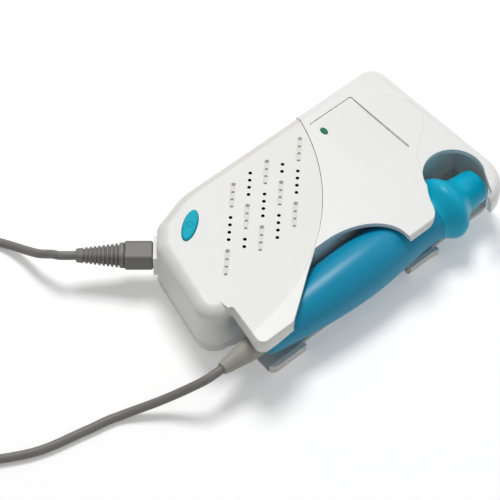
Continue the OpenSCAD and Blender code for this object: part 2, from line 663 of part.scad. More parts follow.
// The head: the flare, the flange and the nose, seated on the grip's rim
module probe_head() {
    flare = [for (i = [1 : 8]) let (t = i / 8) [neck_r + 0.6 + (flange_r - neck_r - 0.6) * ease(t), -flare_l + 2.1 + (flare_l - 2.1 - ridge_back) * t]];
    fall = [for (i = [1 : 8]) let (t = i / 8) [flange_r - (flange_r - nose_r) * ease(t), -ridge_back + (ridge_back + fall_l) * t]];
    nose = [for (i = [0 : 6]) [nose_r - 2 + 2 * cos(15 * i) - 0.8, nose_l - 2 + 2 * sin(15 * i)]];
    color("teal") turned_probe(concat(
        [[neck_r - probe_wall + 0.6, -flare_l + 2.1], [neck_r + 0.6, -flare_l + 2.1]], flare, fall, nose,
        [[face_r + 0.1, nose_l], [face_r + 0.1, nose_l - 2.5], [nose_r - probe_wall - 1, nose_l - 2.5], [nose_r - probe_wall - 1, 2]]));
}
face_r = nose_r - 3.2;
module transducer_face() {
    color("gainsboro") turned_probe([[0, nose_l - 2.4], [face_r, nose_l - 2.4], [face_r, nose_l - 0.3], [0, nose_l]]);
}
// Two half-round crystals behind the face, parted by a thin screen
module crystals() {
    crystal_r = nose_r - probe_wall - 1.4;
    color("tan") translate([probe_x, flange_y + nose_l - 4, probe_z]) rotate([-90, 0, 0])
        for (s = [0, 180]) rotate(s) intersection() {
            cylinder(r = crystal_r, h = 1.4, $fn = fine);
            translate([-crystal_r, 0.3, 0]) cube([2 * crystal_r, crystal_r, 1.4]);
        }
}
module probe_board() {
    board_w = 2 * (neck_r - probe_wall) - run_clear;
    color("darkgreen") translate([probe_x - board_w / 2, tail_y + 22, probe_z - 0.6])
        cube([board_w, grip_l - 24 - flare_l, 1.2]);
}
// Strain relief: a stepped sleeve from inside the grip's end round the cord
relief_in_r = 5;
relief_out_r = 2.9;
module probe_strain_relief() {
    mid_r = (relief_in_r + relief_out_r) / 2 + 0.5;
    color("gray") translate([probe_x, tail_y, probe_z]) rotate([90, 0, 0]) difference() {
        rotate_extrude($fn = fine) polygon([[0, -end_wall - 1.5], [relief_in_r + 1.1, -end_wall - 1.5],
            [relief_in_r + 1.1, -end_wall - 0.05], [relief_in_r, -end_wall - 0.05], [relief_in_r, 4],
            [mid_r + 0.3, relief_l * 0.45], [mid_r, relief_l * 0.5], [relief_out_r, relief_l - 1],
            [relief_out_r - 0.5, relief_l], [0, relief_l]]);
        translate([0, 0, relief_l - cord_hold - 0.5]) cylinder(r = cord_r + 0.05, h = cord_hold + 1, $fn = medium);
    }
}

// The cord, as three stretches of one cable: from the probe, the stored coil, and on to the plug
cord_r = cord_d / 2;
cord_hold = 4.5;
coil_c = [-74, -160];
coil_inner = 13.8;
coil_extra = 0.25;
turn_rings = 24;
// The coil winds in on the table, steps up by one layer in half a turn and winds out again
function coil_point(t) = let (a = -90 - 360 * t, r = coil_inner + coil_step * abs(t - coil_turns),
    rise = ease(max(0, min(1, (t - coil_turns + 0.25) * 2))))
    [coil_c[0] + r * cos(a), coil_c[1] + r * sin(a), cord_r + coil_step * rise];
coil_bare = [for (i = [0 : turn_rings * (2 * coil_turns + coil_extra)]) coil_point(i / turn_rings)];
coil_start = coil_bare[0] + [cord_d, 0, 0];
coil_end = coil_bare[len(coil_bare) - 1] + [0, cord_d, 0];
coil_path = concat([coil_start], coil_bare, [coil_end]);
// A smooth line through a few guide points, kept on or above the table
function smooth(guide, steps) = let (last = len(guide) - 1) [for (i = [0 : last - 1]) for (k = [0 : steps - 1])
    let (a = guide[max(0, i - 1)], b = guide[i], c = guide[i + 1], d = guide[min(last, i + 2)], t = k / steps,
        q = (2 * b + t * (c - a) + pow(t, 2) * (2 * a - 5 * b + 4 * c - d) + pow(t, 3) * (3 * b - a - 3 * c + d)) / 2)
    [q[0], q[1], max(cord_r, q[2])]];
relief_end = [probe_x, tail_y - relief_l, probe_z];
plug_exit = [facet_mid[0] + (boot_x0 + boot_l) * plug_dir[0], facet_mid[1] + (boot_x0 + boot_l) * plug_dir[1], plug_z];
plug_back = [plug_dir[0], plug_dir[1], 0];
plug_straight = 6.5;
probe_guide = [relief_end + [0, cord_hold, 0], relief_end, relief_end - [0, 3, 0], relief_end - [1.5, 10, 1.8],
    relief_end - [9, 23, 9.4], [9.6, -116, cord_r], [6, -131, cord_r], [0, -153, cord_r], [-15.4, -176.4, cord_r],
    [-34.4, -187.2, cord_r], [-58, -190.6, cord_r], coil_start];
plug_guide = [coil_end, coil_end + [-0.5, 12, -2.6], coil_end + [-1, 26, -coil_step], [-102.4, -107.4, cord_r],
    [-95, -101.4, cord_r], [-86.5, -97, 2.8], [-77.5, -94.6, 6], [-70, -93.2, 10], plug_exit + plug_back * 10 + [-1.4, 1.2, -1.6],
    plug_exit + plug_back * plug_straight, plug_exit, plug_exit - plug_back * cord_hold];
probe_path = concat(smooth(probe_guide, 3), [coil_start]);
plug_path = concat(smooth(plug_guide, 3), [plug_exit - plug_back * cord_hold]);
function steps_of(path) = [for (i = [1 : len(path) - 1]) norm(path[i] - path[i - 1])];
function path_length(path) = let (s = steps_of(path)) s * [for (l = s) 1];
coil_least_gap = min([for (i = [0 : len(coil_bare) - 1]) for (j = [i + turn_rings / 2 : 1 : len(coil_bare) - 1])
    norm(coil_bare[i] - coil_bare[j])]) - cord_d;
echo(cord_length_mm = path_length(probe_path) + path_length(coil_path) + path_length(plug_path));
echo(coil_least_gap_mm = coil_least_gap);
function sweep_ring(path, i, sides) =
    let (last = len(path) - 1, dir = unit(path[min(last, i + 1)] - path[max(0, i - 1)]),
        across = unit(cross(dir, [0, 0, 1])), up = cross(across, dir))
    [for (k = [0 : sides - 1]) path[i] + cord_r * (across * cos(360 * (k + 0.5) / sides) + up * sin(360 * (k + 0.5) / sides))];
module tube(path, sides) { skin([for (i = [0 : len(path) - 1]) sweep_ring(path, i, sides)]); }
module cord_to_probe() { color("gray") tube(probe_path, 8); }
module cord_coil() { color("gray") tube(coil_path, 6); }
module cord_to_plug() { color("gray") tube(plug_path, 8); }

rear_shell();
front_shell();
top_cover();
label_panel();
led_lens();
power_button();
button_switch();
main_board();
speaker_basket();
speaker_cone();
speaker_gasket();
headphone_jack();
volume_wheel();
volume_pot();
probe_socket();
battery_door();
battery_cells();
battery_contacts();
housing_screws();
probe_grip();
probe_head();
transducer_face();
crystals();
probe_board();
probe_strain_relief();
plug_housing();
plug_boot();
plug_contacts();
cord_to_probe();
cord_coil();
cord_to_plug();
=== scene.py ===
"""Dressed model of a pocket vascular doppler lying on its back, with its probe in the side holder."""
import logging
import math
from dataclasses import dataclass, field
from enum import Enum

import bmesh
import bpy
import numpy as np
from mathutils import Matrix, Vector


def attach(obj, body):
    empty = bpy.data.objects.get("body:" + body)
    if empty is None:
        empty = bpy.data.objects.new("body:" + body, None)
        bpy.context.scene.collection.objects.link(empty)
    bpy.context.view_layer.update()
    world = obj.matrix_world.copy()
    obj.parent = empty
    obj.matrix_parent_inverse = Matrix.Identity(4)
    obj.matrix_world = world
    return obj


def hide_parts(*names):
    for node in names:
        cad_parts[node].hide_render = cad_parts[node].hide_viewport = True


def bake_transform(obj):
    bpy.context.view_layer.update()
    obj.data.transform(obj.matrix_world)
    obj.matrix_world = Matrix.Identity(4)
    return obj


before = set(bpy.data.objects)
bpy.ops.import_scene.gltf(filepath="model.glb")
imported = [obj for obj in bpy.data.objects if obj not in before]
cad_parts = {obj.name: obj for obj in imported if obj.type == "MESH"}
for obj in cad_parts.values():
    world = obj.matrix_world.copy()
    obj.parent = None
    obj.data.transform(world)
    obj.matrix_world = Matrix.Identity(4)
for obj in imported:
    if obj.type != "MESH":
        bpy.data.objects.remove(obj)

log = logging.getLogger("doppler")
MM = 0.001
CLOUD_SCALE = 45.0
GLOSS_SPREAD = 0.12
SHARP_DEG = 35.0
CUT_TOP = 60.0
FLOOR_HALF = 3000.0
FLOOR_LIFT = 0.23
WORLD_LIGHT = 0.3


class Way(Enum):
    """How one closed form works on another."""

    CUT = "DIFFERENCE"
    JOIN = "UNION"
    KEEP = "INTERSECT"


@dataclass(frozen=True)
class Finish:
    """A moulded or metal surface: colour, gloss, and the fine grain of its mould."""

    name: str
    colour: tuple[float, float, float]
    roughness: float = 0.45
    metallic: float = 0.0
    grain_mm: float = 0.5
    grain_depth: float = 0.05
    mottle: float = 0.03
    coat: float = 0.0
    specular: float = 0.5
    sheen: float = 0.0

    def material(self) -> bpy.types.Material:
        """Builds the node material once and returns it.

        Returns:
            The material, with its grain and mottling on Object coordinates.
        """
        found = bpy.data.materials.get(self.name)
        if found is not None:
            return found
        made = bpy.data.materials.new(self.name)
        made.use_nodes = True
        tree = made.node_tree
        shader = tree.nodes["Principled BSDF"]
        plain = {"Metallic": self.metallic, "Specular IOR Level": self.specular, "Coat Weight": self.coat,
                 "Coat Roughness": 0.12, "Sheen Weight": self.sheen}
        for socket, value in plain.items():
            shader.inputs[socket].default_value = value
        place = tree.nodes.new("ShaderNodeTexCoord")
        grain, clouds = tree.nodes.new("ShaderNodeTexNoise"), tree.nodes.new("ShaderNodeTexNoise")
        for noise, scale, detail in ((grain, 1.0 / (self.grain_mm * MM), 3.0), (clouds, CLOUD_SCALE, 2.0)):
            noise.inputs["Scale"].default_value = scale
            noise.inputs["Detail"].default_value = detail
            tree.links.new(place.outputs["Object"], noise.inputs["Vector"])
        colour = tree.nodes.new("ShaderNodeMix")
        colour.data_type = "RGBA"
        for end, change in (("A", -self.mottle), ("B", self.mottle)):
            colour.inputs[end].default_value = (*(min(1.0, c * (1 + change)) for c in self.colour), 1)
        tree.links.new(clouds.outputs["Fac"], colour.inputs["Factor"])
        tree.links.new(colour.outputs["Result"], shader.inputs["Base Color"])
        gloss = tree.nodes.new("ShaderNodeMapRange")
        gloss.inputs["To Min"].default_value = self.roughness * (1 - GLOSS_SPREAD)
        gloss.inputs["To Max"].default_value = self.roughness * (1 + GLOSS_SPREAD)
        tree.links.new(grain.outputs["Fac"], gloss.inputs["Value"])
        tree.links.new(gloss.outputs["Result"], shader.inputs["Roughness"])
        bump = tree.nodes.new("ShaderNodeBump")
        bump.inputs["Strength"].default_value = 0.35
        bump.inputs["Distance"].default_value = self.grain_depth * MM
        tree.links.new(grain.outputs["Fac"], bump.inputs["Height"])
        tree.links.new(bump.outputs["Normal"], shader.inputs["Normal"])
        return made


BODY_WHITE = Finish("body_white", (0.80, 0.80, 0.775), 0.42, grain_mm=0.6, grain_depth=0.03, mottle=0.012)
COVER_WHITE = Finish("cover_white", (0.83, 0.83, 0.81), 0.36, grain_mm=0.7, grain_depth=0.02, mottle=0.012)
REAR_WHITE = Finish("rear_white", (0.78, 0.775, 0.74), 0.55, grain_mm=0.4, grain_depth=0.06, mottle=0.015)
PANEL_FILM = Finish("panel_film", (0.82, 0.825, 0.81), 0.3, grain_mm=1.2, grain_depth=0.008, mottle=0.01)
TEAL_GRIP = Finish("teal_grip", (0.0, 0.285, 0.475), 0.34, grain_mm=0.8, grain_depth=0.012, specular=0.32)
TEAL_HEAD = Finish("teal_head", (0.0, 0.420, 0.625), 0.34, grain_mm=0.8, grain_depth=0.012, specular=0.22)
BUTTON_TEAL = Finish("button_teal", (0.0, 0.450, 0.590), 0.5, grain_mm=0.8, grain_depth=0.01, mottle=0.02,
                     specular=0.12)
BUTTON_MARK = Finish("button_mark", (0.0, 0.300, 0.400), 0.5, grain_depth=0.0, specular=0.12)
LENS_GREEN = Finish("lens_green", (0.0, 0.165, 0.085), 0.3, grain_mm=2.0, grain_depth=0.0, mottle=0.1,
                    specular=0.15)
CORD_GREY = Finish("cord_grey", (0.185, 0.180, 0.165), 0.50, grain_mm=0.7, grain_depth=0.03, mottle=0.05)
BOOT_GREY = Finish("boot_grey", (0.180, 0.175, 0.160), 0.55, grain_depth=0.04, mottle=0.05)
PLUG_GREY = Finish("plug_grey", (0.155, 0.152, 0.138), 0.48, grain_depth=0.03, mottle=0.04)
# Painted light: twice the cord's grey, lightened to stand in for the light on the relief's lit side.
RELIEF_GREY_PAINTED_LIGHT = Finish("relief_grey_painted_light", (0.370, 0.360, 0.320), 0.55, grain_depth=0.04, mottle=0.05)
# Painted shade: black put on the through holes' white walls for the shade inside the holes.
HOLE_PAINTED_SHADE = Finish("hole_painted_shade", (0.006, 0.006, 0.006), 0.8, grain_depth=0.0, specular=0.1)
# Painted shade: a darker, warmer white on the slots' and dimples' faces for the shade in these shallow
# recesses.
SLOT_PAINTED_SHADE = Finish("slot_painted_shade", (0.74, 0.725, 0.68), 0.5, grain_mm=0.6, grain_depth=0.03, mottle=0.02)
DARK_PLASTIC = Finish("dark_plastic", (0.020, 0.020, 0.021), mottle=0.06)
CONE_BLACK = Finish("cone_black", (0.010, 0.010, 0.011), 0.6, grain_mm=0.9, mottle=0.15)
FOAM = Finish("foam_ring", (0.05, 0.05, 0.05), 0.9, grain_mm=0.6, grain_depth=0.15, mottle=0.2, sheen=0.2)
STEEL = Finish("pressed_steel", (0.55, 0.55, 0.56), 0.3, 1.0, grain_mm=0.3, grain_depth=0.01)
ZINC = Finish("zinc_screw", (0.50, 0.50, 0.48), 0.34, 1.0, grain_mm=0.3, grain_depth=0.02)
GOLD = Finish("gold_plate", (0.83, 0.60, 0.24), 0.25, 1.0, grain_mm=0.3, grain_depth=0.005)
BOARD_GREEN = Finish("board_green", (0.012, 0.11, 0.045), 0.35, grain_mm=1.5, grain_depth=0.02, mottle=0.2,
                     coat=0.3)
RESIN = Finish("pot_resin", (0.25, 0.17, 0.07), 0.4, mottle=0.1)
CERAMIC = Finish("ceramic", (0.45, 0.38, 0.26), 0.6, mottle=0.06)
EPOXY = Finish("face_epoxy", (0.52, 0.52, 0.49), 0.35)
CELL_WRAP = Finish("cell_wrap", (0.045, 0.05, 0.06), 0.3, mottle=0.1, coat=0.3)

CAD_FINISHES: dict[str, Finish] = {
    "button_switch": DARK_PLASTIC, "main_board": BOARD_GREEN, "speaker_basket": STEEL,
    "speaker_cone": CONE_BLACK, "speaker_gasket": FOAM, "headphone_jack": DARK_PLASTIC,
    "volume_wheel": DARK_PLASTIC, "volume_pot": RESIN, "probe_socket": BODY_WHITE, "battery_door": REAR_WHITE,
    "battery_cells": CELL_WRAP, "battery_contacts": STEEL, "housing_screws": ZINC, "transducer_face": EPOXY,
    "crystals": CERAMIC, "probe_board": BOARD_GREEN, "plug_contacts": GOLD, "led_lens": LENS_GREEN,
}


def put_mesh(name: str, points: np.ndarray, faces: list[list[int]],
             sharp_deg: float = SHARP_DEG) -> bpy.types.Object:
    """Makes an object from points in millimetres.

    Args:
        name: The object's name.
        points: An array of n rows of x, y, z.
        faces: Lists of point numbers, wound so that they face outwards.
        sharp_deg: The angle past which an edge stays sharp.

    Returns:
        The object, at the origin.
    """
    mesh = bpy.data.meshes.new(name)
    mesh.from_pydata((np.asarray(points) * MM).tolist(), [], faces)
    mesh.validate()
    mesh.shade_smooth()
    mesh.set_sharp_from_angle(angle=math.radians(sharp_deg))
    made = bpy.data.objects.new(name, mesh)
    bpy.context.scene.collection.objects.link(made)
    return made


def skin_faces(rows: int, cols: int, ends: bool = True, flip: bool = False) -> list[list[int]]:
    """Faces of a grid of closed rings: each cell is one quad, and each end is one flat face.

    Args:
        rows: Number of rings.
        cols: Points in a ring.
        ends: Whether the first and the last ring are capped.
        flip: Whether the faces are wound the other way.

    Returns:
        The faces as lists of point numbers.
    """
    k, i = np.meshgrid(np.arange(rows - 1), np.arange(cols), indexing="ij")
    low, j = k * cols, (i + 1) % cols
    faces = np.stack([low + i, low + j, low + cols + j, low + cols + i], axis=-1).reshape(-1, 4).tolist()
    if ends:
        faces += [list(range(cols - 1, -1, -1)), list(range((rows - 1) * cols, rows * cols))]
    return [f[::-1] for f in faces] if flip else faces


def prism(name: str, flat: np.ndarray, low: float, high: float) -> bpy.types.Object:
    """A straight form over a flat outline: each outline point stands at the low and at the high level.

    Args:
        name: The object's name.
        flat: An array of n rows of x, y, anticlockwise.
        low: The lower level.
        high: The upper level.

    Returns:
        The closed form.
    """
    n = len(flat)
    points = np.vstack([np.column_stack([flat, np.full(n, z)]) for z in (low, high)])
    return put_mesh(name, points, skin_faces(2, n))


def lathe(name: str, profile: np.ndarray, place: "Axis", sides: int) -> bpy.types.Object:
    """A turned form: each profile point [r, h] becomes a ring of radius r, h along the axis.

    Args:
        name: The object's name.
        profile: An array of n rows of r, h. It closes on itself, or starts and ends on the axis.
        place: The axis that it is turned about.
        sides: Points in a ring.

    Returns:
        The closed form.
    """
    r, h = np.asarray(profile, float).T
    closed = r[0] > 1e-6
    if closed:
        r, h = np.append(r, r[0]), np.append(h, h[0])
    r = np.maximum(r, 1e-4)
    turn = np.linspace(0, 2 * np.pi, sides, endpoint=False)
    x, y = r[:, None] * np.cos(turn), r[:, None] * np.sin(turn)
    points = (np.array(place.origin) + x[..., None] * np.array(place.side) + y[..., None] * np.array(place.up)
              + h[:, None, None] * np.array(place.along))
    made = put_mesh(name, points.reshape(-1, 3), skin_faces(len(r), sides, ends=False))
    tidy(made)
    return made


@dataclass(frozen=True)
class Axis:
    """A place with its three directions."""

    origin: tuple[float, float, float]
    along: tuple[float, float, float]
    side: tuple[float, float, float]
    up: tuple[float, float, float] = (0.0, 0.0, 1.0)


def tidy(made: bpy.types.Object) -> None:
    """Merges doubled points and turns the faces outwards.

    Args:
        made: The object whose mesh is cleaned.
    """
    work = bmesh.new()
    work.from_mesh(made.data)
    bmesh.ops.remove_doubles(work, verts=work.verts, dist=2e-6)
    bmesh.ops.recalc_face_normals(work, faces=work.faces)
    work.to_mesh(made.data)
    work.free()


def shape(base: bpy.types.Object, way: Way, *others: bpy.types.Object) -> bpy.types.Object:
    """Cuts, joins or keeps base with each of the others in turn, and removes them.

    Args:
        base: The closed form that is changed.
        way: What happens with it.
        others: The closed forms that work on it.

    Returns:
        The changed base.
    """
    for other in others:
        modifier = base.modifiers.new("shape", "BOOLEAN")
        modifier.operation = way.value
        modifier.solver = "EXACT"
        modifier.object = other
        bpy.context.view_layer.update()
        ready = base.evaluated_get(bpy.context.evaluated_depsgraph_get())
        mesh = bpy.data.meshes.new_from_object(ready)
        base.modifiers.clear()
        old, base.data = base.data, mesh
        bpy.data.meshes.remove(old)
        bpy.data.objects.remove(other)
    return base


def finish_piece(made: bpy.types.Object, body: str, finish: Finish, slot: str, *nodes: str,
                 sharp_deg: float = SHARP_DEG, soften_mm: float = 0.0) -> bpy.types.Object:
    """Dresses a new piece and lets it stand for its nodes.

    Args:
        made: The piece.
        body: The CAD body that it rides on.
        finish: Its material.
        slot: The record's material slot. Not used.
        nodes: The CAD nodes that it replaces.
        sharp_deg: The angle past which an edge stays sharp.
        soften_mm: The width of the rounding along sharp edges, or 0.

    Returns:
        The piece.
    """
    if soften_mm:
        bevel = made.modifiers.new("edges", "BEVEL")
        bevel.width = soften_mm * MM
        bevel.segments = 2
        bevel.limit_method = "ANGLE"
        bevel.angle_limit = math.radians(sharp_deg)
        bevel.harden_normals = False
    made.data.shade_smooth()
    made.data.set_sharp_from_angle(angle=math.radians(sharp_deg))
    weighted = made.modifiers.new("normals", "WEIGHTED_NORMAL")
    weighted.keep_sharp = True
    weighted.weight = 80
    made.data.materials.clear()
    made.data.materials.append(finish.material())
    if nodes:
        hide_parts(*nodes)
    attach(made, body)
    log.info("%s: %d faces on %s", made.name, len(made.data.polygons), body)
    return made


@dataclass(frozen=True)
class CaseSize:
    """Sizes of the case in millimetres, as in the part's source."""

    width: float = 88
    length: float = 144
    height: float = 30
    parting: float = 7.5
    wall: float = 2.2
    front_edge: float = 5.5
    proud: float = 0.6
    seam_gap: float = 0.2
    seam_r: float = 97
    facet_w: float = 12
    facet_turn: float = 41
    divider: float = 2
    cup_r: float = 17
    top_corner: float = 8
    grip_r: float = 12.2
    tail_r: float = 7.2
    probe_z: float = 16.6
    clear: float = 0.7
    arm_reach: float = 9.5
    finger_w: float = 19
    opening_r: float = 13
    hood_h: float = 8.5
    facet_in: float = 5.5
    facet_up: float = 17
    flange_in: float = 23.5
    cavity_w: float = 17.5
    tip_ahead: float = 8
    finger_back: float = 12
    pillar_up: float = 12
    mid_z: float = 15
    over: float = 3
    grip_l: float = 104

    @property
    def left(self) -> float:
        """The left wall's x."""
        return -self.width / 2

    @property
    def right(self) -> float:
        """The cup's outermost x."""
        return self.width / 2

    @property
    def top(self) -> float:
        """The label end's y."""
        return self.length / 2

    @property
    def bottom(self) -> float:
        """The plug end's y."""
        return -self.length / 2

    @property
    def probe_x(self) -> float:
        """The probe axis's x."""
        return self.right - self.cup_r

    @property
    def box_x(self) -> float:
        """The divider's bay side."""
        return self.probe_x - self.grip_r - self.clear

    @property
    def arm_x(self) -> float:
        """The holder arms' outer side."""
        return self.probe_x + self.arm_reach

    @property
    def flange_y(self) -> float:
        """The probe flange's y."""
        return self.top - self.flange_in

    @property
    def cavity_x(self) -> float:
        """The head cavity's inner side."""
        return self.probe_x - self.cavity_w

    @property
    def cup_tip(self) -> float:
        """The free end of the cup's side wall."""
        return self.flange_y + self.tip_ahead

    @property
    def finger_top(self) -> float:
        """The finger's edge towards the head."""
        return self.flange_y - self.finger_back

    @property
    def finger_low(self) -> float:
        """The finger's edge towards the window."""
        return self.finger_top - self.finger_w

    @property
    def tail_y(self) -> float:
        """The grip's cord end."""
        return self.flange_y - self.grip_l

    @property
    def pillar_y(self) -> float:
        """The pillar's inner end."""
        return self.bottom + self.pillar_up

    @property
    def cover_z(self) -> float:
        """The upper cover's face."""
        return self.height + self.proud

    @property
    def facet(self) -> tuple[np.ndarray, np.ndarray]:
        """The two ends of the socket facet."""
        a = np.array([self.left + self.facet_in, self.bottom + self.facet_up])
        turn = math.radians(self.facet_turn)
        return a, a + self.facet_w * np.array([math.cos(turn), -math.sin(turn)])


CASE = CaseSize()


def plan() -> np.ndarray:
    """The plan's corners, anticlockwise, as rows of x, y, radius and share of the edge rounding.

    Returns:
        The corners.
    """
    c, (facet, facet_end) = CASE, CASE.facet
    r, pillar = c.front_edge + 1, c.pillar_y
    return np.array([
        [*facet, r, 1], [*facet_end, r, 1], [c.box_x, c.bottom - 1.2, r + 2.5, 1], [c.box_x, pillar, 1, 0.15],
        [c.arm_x, pillar - 4.5, 3.6, 0.2], [c.arm_x, c.finger_top, 14, 0.3],
        [c.right, c.flange_y + 3.5, 8, 0.5], [c.right, c.top, c.cup_r, 0.75],
        [c.left, c.top, c.top_corner, 1], [c.left, c.bottom + 34, 30, 1]])


def rounded(corners: np.ndarray, step_deg: float = 4.0) -> np.ndarray:
    """Rounds each corner: the arc's centre lies one radius inside both sides, and its points turn about it.

    Args:
        corners: Rows of x, y, radius, share.
        step_deg: The turn between neighbouring points.

    Returns:
        Rows of x, y, normal x, normal y and share.
    """
    rows = []
    for n in range(len(corners)):
        a, p, b = (corners[(n + k) % len(corners)][:2] for k in (-1, 0, 1))
        r, share = corners[n][2:]
        d0, d1 = (p - a) / np.linalg.norm(p - a), (b - p) / np.linalg.norm(b - p)
        turn = math.atan2(d0[0] * d1[1] - d0[1] * d1[0], d0 @ d1)
        side = 1 if turn > 0 else -1
        n0 = np.array([d0[1], -d0[0]])
        centre = p - d0 * r * math.tan(abs(turn) / 2) - side * r * n0
        w = np.linspace(0, turn, max(3, math.ceil(abs(math.degrees(turn)) / step_deg)))
        normal = np.column_stack([n0[0] * np.cos(w) - n0[1] * np.sin(w),
                                  n0[0] * np.sin(w) + n0[1] * np.cos(w)])
        rows.append(np.column_stack([centre + side * r * normal, normal, np.full(len(w), share)]))
    return np.vstack(rows)


def ring(line: np.ndarray, z: float, inset: float, edge: float) -> np.ndarray:
    """A level ring: the outline drawn in along its normals by the inset and each point's share of the edge.

    Args:
        line: Rows of x, y, normal x, normal y, share.
        z: The ring's level.
        inset: How far all points go in.
        edge: How far a point of share 1 goes in besides.

    Returns:
        Rows of x, y, z.
    """
    inward = (inset + edge * line[:, 4:5]) * line[:, 2:4]
    return np.column_stack([line[:, :2] - inward, np.full(len(line), z)])


def rounded_block(name: str, line: np.ndarray, low: float, high: float, inset: float, r: float,
                  up: bool = True) -> bpy.types.Object:
    """A block over the plan whose upper or lower edge is a quarter round in each point's share.

    Args:
        name: The object's name.
        line: The plan's outline.
        low: The lower level.
        high: The upper level.
        inset: How far it is drawn in.
        r: The edge's radius.
        up: Whether the upper edge is the round one.

    Returns:
        The closed form.
    """
    turn = np.radians(np.linspace(90, 0, 10))
    drop, pull = r * (1 - np.sin(turn)), r * (1 - np.cos(turn))
    if up:
        rings = [ring(line, high - d, inset, p) for d, p in zip(drop, pull)] + [ring(line, low, inset, 0)]
    else:
        rings = [ring(line, low + d, inset, p) for d, p in zip(drop, pull)] + [ring(line, high, inset, 0)]
    return put_mesh(name, np.vstack(rings), skin_faces(len(rings), len(line), flip=up))


def rectangle(x0: float, y0: float, x1: float, y1: float) -> np.ndarray:
    """A rectangle's corners, anticlockwise, from its lower and its higher x and y."""
    return np.array([[x0, y0], [x1, y0], [x1, y1], [x0, y1]])


def circle_line(x: float, y: float, r: float, sides: int = 96) -> np.ndarray:
    """A circle's points, anticlockwise.

    Args:
        x: The centre's x.
        y: The centre's y.
        r: The radius.
        sides: Number of points.

    Returns:
        Rows of x, y.
    """
    turn = np.linspace(0, 2 * np.pi, sides, endpoint=False)
    return np.column_stack([x + r * np.cos(turn), y + r * np.sin(turn)])


def oval_line(at: tuple[float, float], long: float, wide: float, tilt_deg: float = 0.0,
              sides: int = 72) -> np.ndarray:
    """An oval's points, its long axis along Y before it is tilted.

    Args:
        at: The centre.
        long: The long axis.
        wide: The short axis.
        tilt_deg: The turn from Y towards -X.
        sides: Number of points.

    Returns:
        Rows of x, y.
    """
    turn, tilt = np.linspace(0, 2 * np.pi, sides, endpoint=False), math.radians(tilt_deg)
    x, y = wide / 2 * np.cos(turn), long / 2 * np.sin(turn)
    return np.column_stack([at[0] + x * math.cos(tilt) - y * math.sin(tilt),
                            at[1] + x * math.sin(tilt) + y * math.cos(tilt)])


def along_x(name: str, flat: np.ndarray, low: float, high: float) -> bpy.types.Object:
    """A straight form whose outline lies in Y and Z and which runs along X.

    Args:
        name: The object's name.
        flat: Rows of y, z, anticlockwise.
        low: Its lower x.
        high: Its higher x.

    Returns:
        The closed form.
    """
    n = len(flat)
    points = np.vstack([np.column_stack([np.full(n, x), flat]) for x in (low, high)])
    return put_mesh(name, points, skin_faces(2, n))


